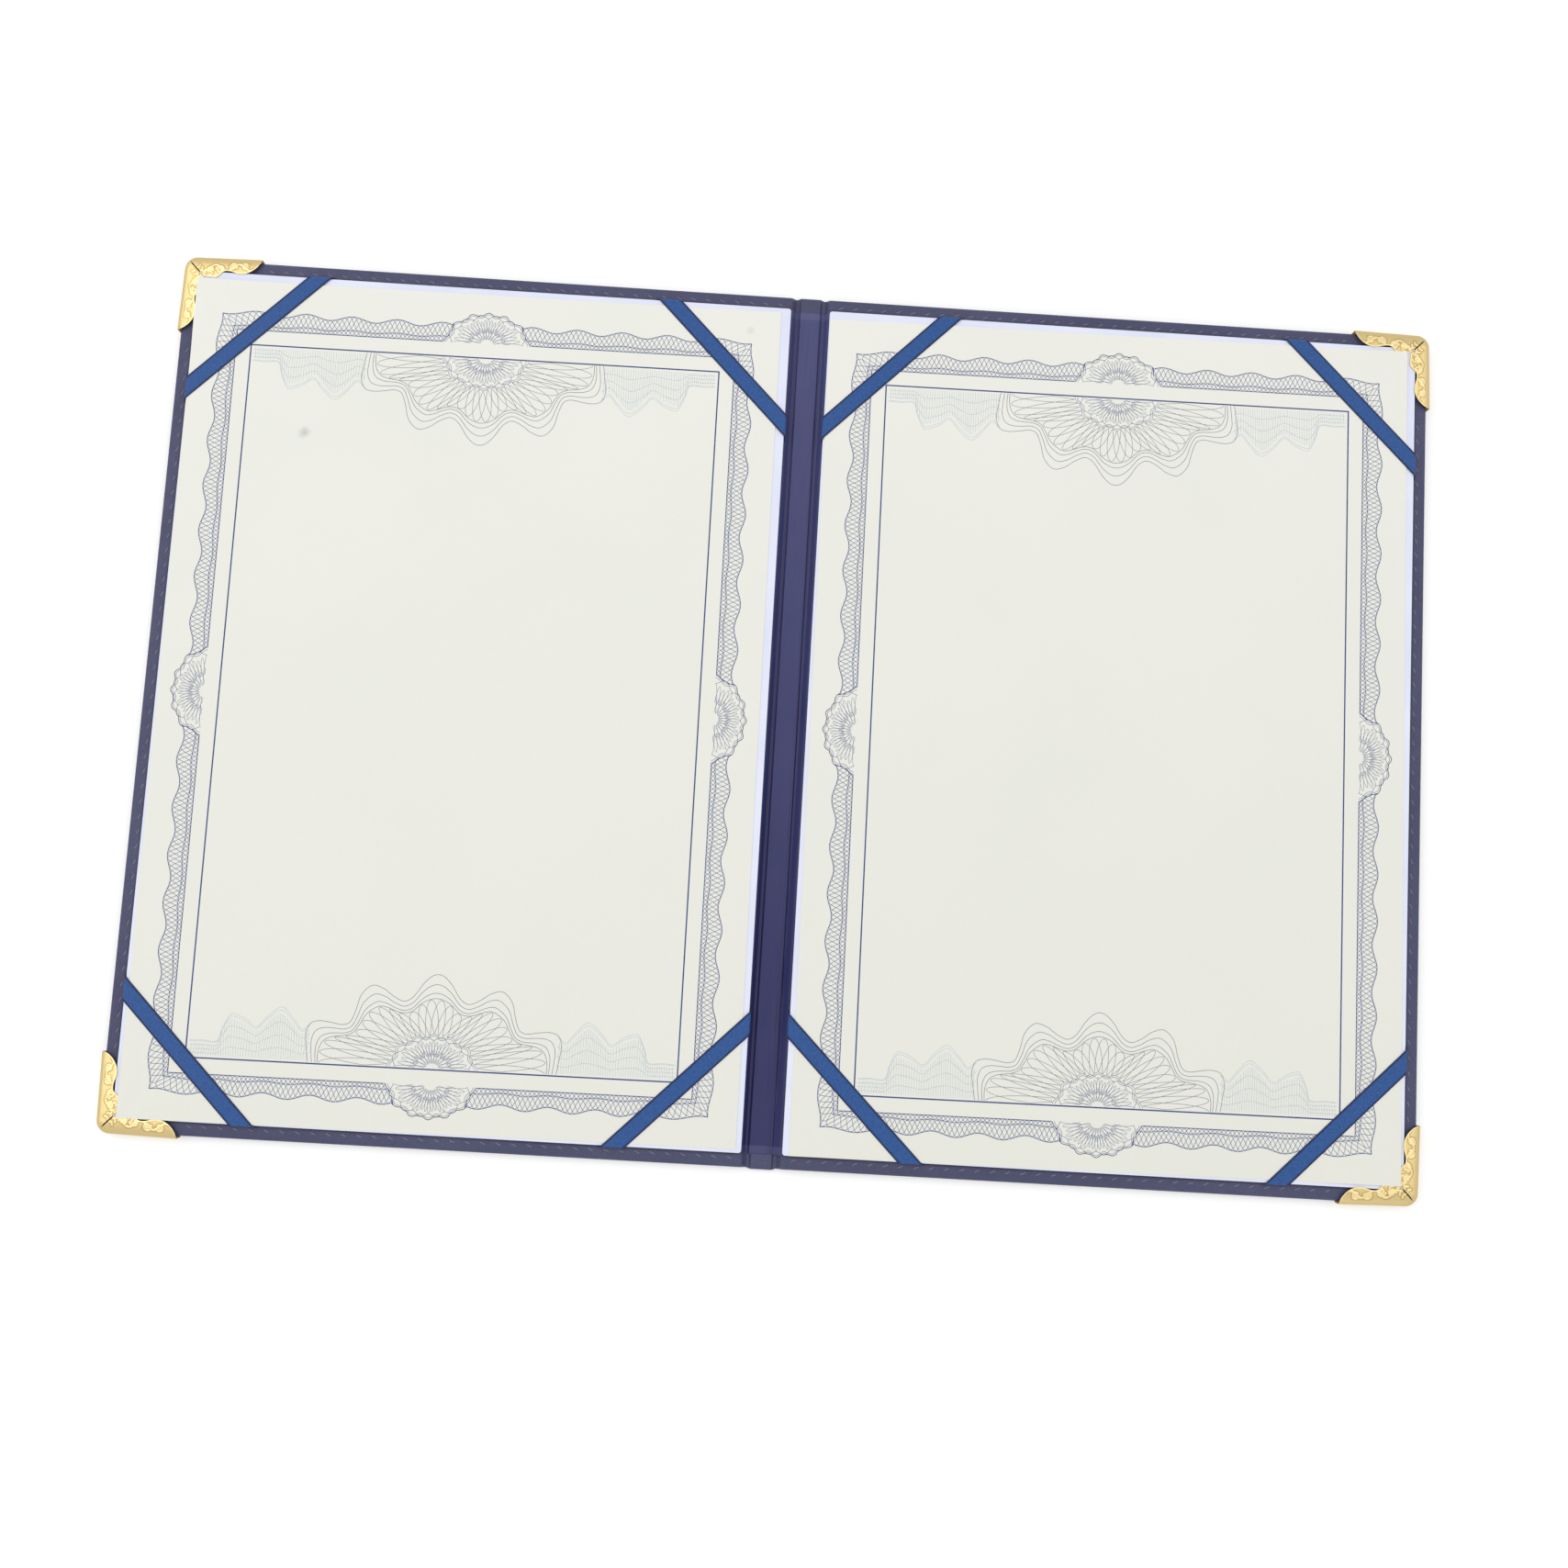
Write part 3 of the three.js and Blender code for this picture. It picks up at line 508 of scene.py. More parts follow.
def setStudio():
    # A white world, square lamps that face the book, and a floor under it. A lamp's own Z axis is its
    # place over its distance, so that it shines back along it.
    scene = bpy.context.scene
    scene.view_settings.view_transform = "Standard"
    world = bpy.data.worlds.new("studio")
    world.use_nodes = True
    scene.world = world
    background = world.node_tree.nodes["Background"]
    background.inputs["Color"].default_value = (1, 1, 1, 1)
    strength = spread(world, seenRays(world), 0.0, 1.0, studio["world"], 1.0)
    world.node_tree.links.new(strength, background.inputs["Strength"])
    for name, place, size, watts in studio["lamps"]:
        data = bpy.data.lights.new(name, "AREA")
        data.energy = watts
        data.shape = "SQUARE"
        data.size = size
        lamp = bpy.data.objects.new(name, data)
        scene.collection.objects.link(lamp)
        z = np.array(place) / np.linalg.norm(place)
        x = np.cross([0, 1, 0.001], z)
        x /= np.linalg.norm(x)
        matrix = np.eye(4)
        matrix[:3, :3] = np.stack([x, np.cross(z, x), z], 1)
        matrix[:3, 3] = place
        lamp.matrix_world = Matrix(matrix.tolist())
    # The floor's diffuse white takes the shadow. A little light of its own lifts it to white where it is
    # seen, and more of it farther out, past the lamps' reach.
    floor = bpy.data.materials.new("floor")
    floor.use_nodes = True
    tree = floor.node_tree
    tree.nodes.clear()
    diffuse = addNode(floor, "BsdfDiffuse", {"Color": (studio["floorColor"],) * 3 + (1,)})
    away = addNode(floor, "VectorMath", {0: objectPoint(floor)}, operation="LENGTH").outputs["Value"]
    amount = spread(floor, away, *studio["liftReach"], *studio["floorLift"])
    lift = addNode(floor, "Emission", {"Strength": calculate(floor, "MULTIPLY", seenRays(floor), amount)})
    both = addNode(floor, "AddShader", {0: diffuse.outputs[0], 1: lift.outputs[0]})
    addNode(floor, "OutputMaterial", {"Surface": both.outputs[0]})
    half = studio["floorSize"] / 2 / mm
    corners = np.array([[-half, -half], [half, -half], [half, half], [-half, half]])
    corners = np.column_stack([corners, np.full(4, studio["floorHeight"])])
    ground = makePiece("floor", corners, np.array([[0, 1, 2, 3]]), floor, None)


setCamera()
setStudio()
print("camera and studio are ready")


# Outer skin, in two halves that meet in the middle of the spine

skin = {
    "wall": 0.25,
    "edgeRadius": 1.4,
    "crownRise": 0.9,
    "crownReach": 22.0,
    "turnIn": 12.0,     # onto the board, under the panel
    "spineTurnIn": 5.2,     # onto the spine, up to the lining
    "blendFrom": 3.7,
    "blendTo": 5.6,
    "bevelFrom": 3.2,
    "bevelTo": 4.0,
    "slopeEnd": 9.6,
    "keptColumns": 25.0,     # columns nearer the spine than this stay in line along the cover
    "stripEnds": (3.5, 4.1),     # the spine's strip falls to the crease between these
    "slopeEnds": (4.8, 7.2),     # and the skin rises to the cover between these
    "turnInShares": (0, 0.3, 0.55, 0.62, 0.66, 0.7, 0.76, 0.85, 1),     # rows over the turned-in edge
    "undersideInsets": (24, 34, 50, 70, 90, 110, 130, 145, 155),     # rows under the cover
    "turnEnds": (7.0, 8.4),     # the turned-in edge widens from the spine's to the cover's between these
    "overhangEnds": (3.6, 5.4),     # the spine's longer ends give way to the cover's between these
    "overhangReach": 60.0,     # and farther in from the edge than this
    "panelShadowEnds": (4.1, 4.7),     # insets where the face passes under the panel, darkened by a painted shadow between them
}


def crownHeight(inset):
    # Height of the underside near the edge: the rise times (1 - inset / reach) squared.
    return skin["crownRise"] * np.clip(1 - inset / skin["crownReach"], 0, 1) ** 2


def innerTop(x):
    # Height of the inner face from the spine's strip, over the crease, up to the turned-in skin.
    fall = book["spineTop"] - book["creaseTop"]
    rise = book["skinTop"] - book["creaseTop"]
    strip = book["spineTop"] - fall * smoothStep(x, *skin["stripEnds"])
    return strip + rise * smoothStep(x, *skin["slopeEnds"])


def outerBottom(x):
    # Depth of the crease in the outer face: a bevel from the spine and a slope up to the padding.
    rise = smoothStep(x, skin["bevelFrom"], skin["bevelTo"])
    fall = smoothStep(x, book["panelInner"], skin["slopeEnd"])
    return book["creaseBottom"] * rise * (1 - fall)


def skinColumns():
    # Stations round the edge: along the foot or the head from the spine, round a corner as angles, and
    # along the outer side from -1 to 1.
    near = np.concatenate([np.linspace(0, 3.1, 4), np.linspace(3.3, 8.0, 24), np.linspace(8.4, 12, 7)])
    far = np.linspace(16, book["coverOuter"] - book["cornerRadius"], 40)
    leg = np.concatenate([near, far])
    arc = np.linspace(0, math.pi / 2, 9)[1:-1]
    straight = np.linspace(-1, 1, 48)
    return leg, arc, straight


def coverSkinShape():
    # Rows run over the section, from the turned-in edge over the wall to the middle of the underside,
    # and columns run round the edge, from the spine's foot to its head. A point is the outline at its
    # inset, with its height from the section.
    leg, arc, straight = skinColumns()
    arcX = np.full(len(arc), book["coverOuter"])
    x = np.concatenate([leg, arcX, np.full(len(straight), book["coverOuter"]), arcX, leg[::-1]])
    top = innerTop(x)
    radius = np.minimum(skin["edgeRadius"], 0.47 * (top - skin["crownRise"]))
    turn = skin["spineTurnIn"] + (skin["turnIn"] - skin["spineTurnIn"]) * smoothStep(x, *skin["turnEnds"])
    rows = []
    for share in skin["turnInShares"]:
        rows.append((turn + (radius - turn) * share, top))
    for angle in np.linspace(0, math.pi / 2, 6)[1:]:
        rows.append((radius * (1 - math.sin(angle)), top - radius * (1 - math.cos(angle))))
    low = crownHeight(radius) + radius
    for angle in np.linspace(0, math.pi / 2, 6):
        rows.append((radius * (1 - math.cos(angle)), low - radius * math.sin(angle)))
    for share in np.linspace(0, 1, 11)[1:]:
        inset = radius + (skin["crownReach"] - radius) * share
        rows.append((inset, np.maximum(crownHeight(inset), outerBottom(x))))
    for inset in skin["undersideInsets"]:
        rows.append((np.full_like(x, inset), outerBottom(x)))
    inset = np.array([row[0] for row in rows])
    height = np.array([row[1] for row in rows])
    overhang = (book["spineHalf"] - book["halfHeight"]) * (1 - smoothStep(x, *skin["overhangEnds"]))
    halfY = book["halfHeight"] + overhang * np.clip(1 - inset / skin["overhangReach"], 0, 1) - inset
    roundness = np.maximum(book["cornerRadius"] - inset, 0)
    outer = book["coverOuter"] - inset
    kept = skin["keptColumns"]
    n, m, k = len(leg), len(arc), len(straight)
    room = book["coverOuter"] - book["cornerRadius"] - kept
    squeeze = (outer[:, :n] - roundness[:, :n] - kept) / room
    legX = np.where(leg <= kept, leg, kept + (leg - kept) * squeeze)
    footArc = np.s_[:, n:n + m]
    headArc = np.s_[:, n + m + k:n + 2 * m + k]
    side = np.s_[:, n + m:n + m + k]
    px = np.empty_like(inset)
    py = np.empty_like(inset)
    px[:, :n] = legX
    py[:, :n] = -halfY[:, :n]
    px[footArc] = outer[footArc] - roundness[footArc] * (1 - np.sin(arc))
    py[footArc] = -halfY[footArc] + roundness[footArc] * (1 - np.cos(arc))
    px[side] = outer[side]
    py[side] = straight * (halfY[side] - roundness[side])
    px[headArc] = outer[headArc] - roundness[headArc] * (1 - np.sin(arc[::-1]))
    py[headArc] = halfY[headArc] - roundness[headArc] * (1 - np.cos(arc[::-1]))
    px[:, -n:] = legX[:, ::-1]
    py[:, -n:] = halfY[:, -n:]
    # Painted shadow of the panel's edge, on the top face only, between its insets.
    onTop = height > book["skinTop"] - 0.05
    panelShadow = smoothStep(inset, *skin["panelShadowEnds"]) * onTop
    return np.stack([px, py, height], -1), panelShadow


def makeSkin(name):
    # Half the case. It bends over the crease, between the start and the end of its blend.
    side = sides[name]
    points, panelShadow = coverSkinShape()
    rows, columns = points.shape[:2]
    faces = gridFaces(rows, columns)
    piece = makePiece(f"{name}Skin", sidePoints(points, side), faces, leather, None,
                      turned=side > 0)
    # The painted shadow of the panel's edge, read by the leatherette's colour.
    setValues(piece, "panelShadow", panelShadow)
    mergePoints(piece)
    addThickness(piece, skin["wall"])
    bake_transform(piece)
    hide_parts(f"{name}_cover_skin", "spine_skin")


for name in sides:
    makeSkin(name)
print("outer skin is ready")


# Inner lining, in two halves over the spine and up onto the boards

liningWrap = {
    "wall": 0.36,
    "flangeEnd": 19.0,
    "windowHalf": 142.85,     # the flange under the panel is shorter than the strip
    "hem": 2.5,
    "hemRise": 0.1,
    "ripple": 0.05,
    "wander": {"back": 1.7, "front": -0.8},     # how far the crease strays towards the spine at the foot
    "stiffenerHalf": 3.55,     # the lining stays above the stiffener within this
    "stiffenerTop": 2.0,
    "stripEnds": (3.35, 4.15),     # the strip falls to the crease between these
    "slopeEnds": (4.75, 6.9),     # and rises to the board between these
    "overBoard": 0.4,
    "creaseShadeLine": 4.45,     # middle of the painted crease shade, its darkest line
    "creaseShadeWidth": 0.38,
    "driftEnds": (0.6, 3.0, 4.6, 6.9),     # the crease's drift comes and goes between these
    "rippleEnds": (0.0, 2.0, 5.5, 6.9),     # and the ripple between these
}


def liningTop(x):
    # Raised middle strip, crease, slope up to the board's edge, and flat onto the board.
    fall = book["spineTop"] - book["creaseTop"]
    rise = book["boardTop"] + liningWrap["overBoard"] - book["creaseTop"]
    strip = book["spineTop"] - fall * smoothStep(x, *liningWrap["stripEnds"])
    return strip + rise * smoothStep(x, *liningWrap["slopeEnds"])


def makeLining(name):
    # A section across the spine, carried along it. The crease drifts with the square of the way to the
    # foot, and the strip stays above the stiffener. Both ends are hemmed.
    side = sides[name]
    flange = np.linspace(7.6, liningWrap["flangeEnd"], 6)
    x = np.concatenate([np.linspace(0, 3.0, 5), np.linspace(3.2, 7.1, 32), flange])
    ends = np.array([0, 0.12, 0.3, 0.6, 1.2, 2.2, 2.45, 2.7, 3.0, 3.6, 6, 10])
    half = book["liningHalf"] + 0.4
    y = np.concatenate([-half + ends, np.linspace(-half + 14, half - 14, 60), half - ends[::-1]])
    gx, gy = np.meshgrid(x, y)
    z = liningTop(gx)
    fromEnd = half - np.abs(gy)
    onHem = 1 - smoothStep(fromEnd, liningWrap["hem"] - 0.2, liningWrap["hem"] + 0.25)
    z = z + liningWrap["hemRise"] * onHem * (1 - smoothStep(gx, 6.6, 7.0))
    z = z - 0.08 * (1 - smoothStep(fromEnd, 0, 0.3))
    toFoot = np.clip((half - gy) / (2 * half), 0, 1) ** 2
    drift = liningWrap["wander"][name] * toFoot * plateau(gx, *liningWrap["driftEnds"])
    ripple = np.sin(gy / 7.3 + gx) * np.sin(gy / 23.0) * plateau(gx, *liningWrap["rippleEnds"])
    under = smoothStep(gx, 7.0, 7.6)
    limit = half + (liningWrap["windowHalf"] - half) * under
    reach = np.where(under > 0, np.sign(gy) * np.minimum(np.abs(gy), limit), gy)
    px = gx - drift
    z = z + liningWrap["ripple"] * ripple
    stiffenerEdge = liningWrap["stiffenerHalf"]
    z = np.maximum(z, liningWrap["stiffenerTop"] - 0.62 * smoothStep(px, stiffenerEdge, stiffenerEdge + 0.45))
    points = np.stack([px, reach, z], -1)
    # Painted shade: a dark line along the crease, a darker strip under the panel's edge, and dark ends.
    creaseShade = np.exp(-((gx - liningWrap["creaseShadeLine"]) / liningWrap["creaseShadeWidth"]) ** 2)
    creaseShade = creaseShade + 0.75 * smoothStep(gx, 6.45, 6.95)
    creaseShade = np.maximum(creaseShade, 0.8 * (1 - smoothStep(fromEnd, 0.15, 0.5)))
    faces = gridFaces(len(y), len(x))
    piece = makePiece(f"{name}Lining", sidePoints(points, side), faces, lining, None,
                      turned=side < 0)
    setValues(piece, "creaseShade", creaseShade)
    mergePoints(piece)
    addThickness(piece, liningWrap["wall"])
    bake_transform(piece)
    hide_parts(f"{name}_spine_lining_wing", "spine_lining")


for name in sides:
    makeLining(name)
print("lining is ready")


# Card panels with softened edges

panel = {"round": 0.22, "cornerRadius": 1.0}


def roundedRing(halfX, halfY, radius, steps=6):
    # A rectangle with quarter circles at its corners, counter-clockwise from the head right.
    angles = np.linspace(0, math.pi / 2, steps + 1)
    parts = []
    for start, cx, cy in ((0, 1, 1), (1, -1, 1), (2, -1, -1), (3, 1, -1)):
        a = angles + start * math.pi / 2
        x = cx * (halfX - radius) + radius * np.cos(a)
        y = cy * (halfY - radius) + radius * np.sin(a)
        parts.append(np.stack([x, y], -1))
    return np.concatenate(parts)


def makePanel(name):
    # Rounded rectangles stacked over a section with rounded edges, closed by a face at each end.
    side = sides[name]
    levels = []
    soft = panel["round"]
    for angle in np.linspace(0, math.pi / 2, 5):
        levels.append((soft * (1 - math.sin(angle)), book["panelBottom"] + soft * (1 - math.cos(angle))))
    for angle in np.linspace(0, math.pi / 2, 5):
        levels.append((soft * (1 - math.cos(angle)), book["panelTop"] - soft * (1 - math.sin(angle))))
    rings = []
    for inset, height in levels:
        halfX, halfY = book["panelWidth"] / 2 - inset, book["panelHeight"] / 2 - inset
        ring = roundedRing(halfX, halfY, panel["cornerRadius"])
        rings.append(np.column_stack([ring[:, 0] + panelMiddle, ring[:, 1], np.full(len(ring), height)]))
    count = len(rings[0])
    caps = [np.arange(count)[::-1][None], np.arange(count)[None] + count * (len(rings) - 1)]
    faces = [gridFaces(len(rings), count, closed=True), *caps]
    piece = makePiece(f"{name}Panel", sidePoints(np.concatenate(rings), side), faces, cardStuff,
                      hinges[name], shells=True, smooth=False)
    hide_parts(f"{name}_lining_panel")


for name in sides:
    makePanel(name)
print("panels are ready")


# Certificate sheets

sheets = {
    "width": 210.0,
    "height": 297.0,
    "thickness": 0.25,
    "margin": {"back": 1.3, "front": 2.7},     # from the panel's spine edge
    "turn": {"back": 0.38, "front": 0.3},     # degrees
    "middleY": -0.8,
    "liftFlat": 2.8,
    "liftEnd": 8.4,
    "alongFlat": 15.5,
    "alongEnd": 27.35,
    "lift": 0.37,
    "printDrop": 1.1,
}


def sheetFrame(name):
    # Middle of a sheet and its turn. Both sheets turn counter-clockwise as seen from above.
    x = book["panelInner"] + sheets["margin"][name] + sheets["width"] / 2
    return sides[name] * x, sheets["middleY"], math.radians(sheets["turn"][name])


def placeOnSheet(points, name):
    # Turns points about the sheet's middle and moves them there.
    x, y, turn = sheetFrame(name)
    points = np.asarray(points, float)
    c, s = math.cos(turn), math.sin(turn)
    placed = points.copy()
    placed[..., 0] = x + c * points[..., 0] - s * points[..., 1]
    placed[..., 1] = y + s * points[..., 0] + c * points[..., 1]
    return placed


def sheetLift(across, along):
    # Rise of the sheet over the two legs of a metal corner. It falls in a smooth step with the distance
    # from a leg's edge, and in another with the distance along that edge.
    def near(distance):
        # 1 on the leg, 0 clear of it.
        return 1 - smoothStep(distance, sheets["liftFlat"], sheets["liftEnd"])

    def beside(distance):
        # 1 along the leg, 0 past its end.
        return 1 - smoothStep(distance, sheets["alongFlat"], sheets["alongEnd"])

    return sheets["lift"] * np.maximum(near(across) * beside(along), near(along) * beside(across))


def makeSheet(name):
    # A grid of the sheet's top and one of its underside, joined round the edge.
    side = sides[name]
    near = np.array([0, 0.08, 1.5, 2.8, 4.2, 5.6, 7.0, 8.4, 12, 15.5, 18.5, 21.5, 24.5, 27.35])
    across = np.concatenate([near, np.linspace(40, 170, 12), sheets["width"] - near[::-1]])
    along = np.concatenate([near, np.linspace(45, 252, 16), sheets["height"] - near[::-1]])
    ga, gl = np.meshgrid(across, along)
    fromEnd = np.minimum(gl, sheets["height"] - gl)
    x = side * (sheets["width"] / 2 - ga)
    y = gl - sheets["height"] / 2
    top = book["panelTop"] + sheets["thickness"] + sheetLift(ga, fromEnd)
    upper = np.stack([x, y, top], -1)
    lower = np.stack([x, y, top - sheets["thickness"] + 0.01], -1)
    rows, columns = ga.shape
    index = np.arange(rows * columns).reshape(rows, columns)
    rim = np.concatenate([index[0], index[1:, -1], index[-1, -2::-1], index[-2:0:-1, 0]])
    nextRim = np.roll(rim, -1)
    shift = rows * columns
    faces = [gridFaces(rows, columns), gridFaces(rows, columns)[:, ::-1] + shift,
             np.stack([rim, rim + shift, nextRim + shift, nextRim], -1)]
    points = placeOnSheet(np.concatenate([upper.reshape(-1, 3), lower.reshape(-1, 3)]), name)
    piece = makePiece(f"{name}Certificate", points, faces, paper, hinges[name], shells=True,
                      smooth=False)
    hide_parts(f"{name}_certificate")


for name in sides:
    makeSheet(name)
print("sheets are ready")


# Corner ribbons

ribbon = {
    "width": 6.0,
    "thickness": 0.25,
    "fromCorner": 43.5,
    "tail": 10.0,
    "bulge": 0.6,
    "top": 5.81,
    "selvedge": 0.05,     # the cords woven along its edges stand this much proud
}


def ribbonShape():
    # The tape's middle line goes under the panel, round its head edge, straight across the corner, and
    # round its outer edge. Each station's cut lies along the edge it wraps, and a ring of points goes
    # round its section.
    half = ribbon["width"] / math.sqrt(2)
    low = book["panelBottom"] - ribbon["thickness"] / 2
    high = ribbon["top"] - ribbon["thickness"] / 2
    middle = (low + high) / 2
    angle = np.linspace(0, math.pi, 17)
    side = (high - low) / 2
    edgeOut = (ribbon["bulge"] - ribbon["thickness"] / 2) * np.sin(angle)
    edgeUp = middle + side * np.cos(angle)
    travel = np.concatenate([[0], np.cumsum(np.hypot(np.diff(edgeOut), np.diff(edgeUp)))])
    normalOut = np.sin(angle)
    normalUp = np.cos(angle)
    tail = ribbon["tail"] / math.sqrt(2)
    edgeOut = np.append(edgeOut, -np.linspace(0, tail, 5)[1:])
    edgeUp = np.append(edgeUp, np.full(4, low))
    travel = np.append(travel, travel[-1] + np.linspace(0, tail, 5)[1:])
    normalOut = np.append(normalOut, np.zeros(4))
    normalUp = np.append(normalUp, np.full(4, -1.0))
    sideX = panelMiddle + book["panelWidth"] / 2
    headX = sideX - ribbon["fromCorner"]
    headY = book["panelHeight"] / 2
    sideY = headY - ribbon["fromCorner"]
    head = np.stack([headX - travel, headY + edgeOut, edgeUp], -1)[::-1]
    edge = np.stack([sideX + edgeOut, sideY - travel, edgeUp], -1)
    share = np.linspace(0, 1, 34)[1:-1, None]
    across = head[-1] * (1 - share) + edge[0] * share
    centre = np.concatenate([head, across, edge])
    # The cut runs along +X at the head and along +Y at the side, and turns between them.
    cut = np.concatenate([np.tile([1.0, 0, 0], (len(head), 1)),
                          np.column_stack([1 - share, share, 0 * share]),
                          np.tile([0.0, 1, 0], (len(edge), 1))])
    normal = np.concatenate([np.column_stack([0 * normalOut, normalOut, normalUp])[::-1],
                             np.tile([0.0, 0, 1], (len(across), 1)),
                             np.column_stack([normalOut, 0 * normalOut, normalUp])])
    t = np.array([0, 0.3, 0.6, 0.84, 0.89, 0.93, 0.97, 0.995, 1])
    t = np.concatenate([-t[:0:-1], t])
    cord = np.exp(-((np.abs(t) - 0.93) / 0.04) ** 2) * ribbon["selvedge"]
    body = ribbon["thickness"] / 2 - ribbon["selvedge"]
    edgeRound = np.sqrt(np.clip(1 - ((np.abs(t) - 0.9) / 0.1).clip(0) ** 2, 0, 1))
    lift = (body + cord) * edgeRound
    ringT = np.concatenate([t, t[-2:0:-1]])
    ringN = np.concatenate([lift, -lift[-2:0:-1]])
    points = centre[:, None] + half * ringT[None, :, None] * cut[:, None]
    points = points + ringN[None, :, None] * normal[:, None]
    length = np.concatenate([[0], np.cumsum(np.linalg.norm(np.diff(centre, axis=0), axis=1))])
    uv = np.stack(np.broadcast_arrays(ringT[None] * ribbon["width"] / 2, length[:, None]), -1)
    return points, uv


def makeRibbons(name):
    # One shape, mirrored about the panel's middle lines for its four corners.
    shape, uv = ribbonShape()
    rows, columns = shape.shape[:2]
    caps = [np.arange(columns)[None], np.arange(columns)[::-1][None] + columns * (rows - 1)]
    faces = [gridFaces(rows, columns, closed=True), *caps]
    for end, flipY in (("head", 1), ("foot", -1)):
        for place, flipX in (("outer", 1), ("spine", -1)):
            points = shape.copy()
            points[..., 0] = panelMiddle + flipX * (points[..., 0] - panelMiddle)
            points[..., 1] *= flipY
            title = f"{name}Ribbon{end.title()}{place.title()}"
            piece = makePiece(title, sidePoints(points, sides[name]), faces, ribbonStuff, hinges[name],
                              uv=uv, shells=True)
            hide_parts(f"{name}_ribbon_{end}_{place}")


for name in sides:
    makeRibbons(name)
print("ribbons are ready")


# Stamped metal corners

metal = {
    "thickness": 0.3,
    "leg": 27.0,
    "wall": 0.35,     # outside the cover's edge
    "top": 5.6,
    "foldRun": 0.7,
    "foldBottom": 0.02,
    "foldTop": 1.02,
    "border": 5.0,
    "flare": 0.022,
    "innerCorner": 7.2,
    "lobes": [(27.0, 0.0), (20.5, 5.8), (15.2, 4.9), (11.0, 7.4), (7.2, 7.2)],     # along the leg, inwards
    "slitHalf": 0.16,
    "slitFrom": 2.0,
    "reliefHeight": 0.13,
    "reliefWidth": 0.26,
    "scrolls": [     # centre along the leg, centre inwards, radius, turns, start angle in degrees, way round
        (21.6, 3.0, 1.35, 1.5, 200, 1),
        (17.3, 3.1, 1.45, 1.6, 20, -1),
        (12.9, 4.4, 1.55, 1.6, 190, 1),
        (9.2, 4.6, 1.2, 1.5, 10, -1),
    ],
    "vine": {"from": 25.0, "to": 6.5, "middle": 3.1, "rise": 0.9, "swing": 1.25, "waves": 2.2, "phase": 0.6},
    "leaves": [     # centre along the leg, centre inwards, length, tilt in degrees
        (7.6, 5.6, 2.4, 62),
        (6.3, 4.7, 2.2, 56),
        (5.2, 3.6, 1.9, 50),
        (9.8, 6.3, 1.5, 35),
    ],
}


def bezier(a, b, c, d, steps):
    # The cubic from a towards b, and from the side of c to d, without its last point.
    t = np.linspace(0, 1, steps + 1)[:-1, None]
    a, b, c, d = (np.array(v, float) for v in (a, b, c, d))
    return (1 - t) ** 3 * a + 3 * (1 - t) ** 2 * t * b + 3 * (1 - t) * t ** 2 * c + t ** 3 * d


def scallopedEdge():
    # Inner edge of one leg as (along, inwards), from its end to the mitre: an end curve and two lobes
    # with a notch between them.
    (p0, q0), (p1, q1), (p2, q2), (p3, q3), (p4, q4) = metal["lobes"]
    toNotch, toInner = (p1 + p2) / 2, (p2 + p3) / 2
    parts = [
        bezier((p0, q0), (p0, q1 / 2), ((p0 + p1) / 2, q1), (p1, q1), 48),
        bezier((p1, q1), (toNotch, q1), (toNotch, q2), (p2, q2), 30),
        bezier((p2, q2), (toInner, q2), (toInner, q3), (p3, q3), 28),
        bezier((p3, q3), (p3 - 1.2, q3), (p4 + 1.2, q4), (p4, q4), 24),
    ]
    return np.concatenate([*parts, [[p4, q4]]])


def scrollLines():
    # Spirals whose radius shrinks evenly with the angle, a wavy vine along the leg, and leaf strokes
    # beside the mitre.
    lines = []
    for p, q, radius, turns, start, way in metal["scrolls"]:
        t = np.linspace(0, 1, 90)
        angle = math.radians(start) + way * 2 * math.pi * turns * t
        r = radius * (1 - 0.8 * t)
        lines.append(np.stack([p + r * np.cos(angle), q + r * np.sin(angle)], -1))
    vine = metal["vine"]
    t = np.linspace(0, 1, 200)
    along = vine["from"] + (vine["to"] - vine["from"]) * t
    wave = vine["swing"] * np.sin(2 * math.pi * vine["waves"] * t + vine["phase"])
    lines.append(np.stack([along, vine["middle"] + vine["rise"] * t + wave], -1))
    for p, q, reach, tilt in metal["leaves"]:
        u = np.linspace(0, 1, 40)
        a = math.radians(tilt) + 0.9 * (u - 0.5)
        lines.append(np.stack([p + reach * (u - 0.5) * np.cos(a), q - reach * (u - 0.5) * np.sin(a)], -1))
    return np.concatenate(lines)


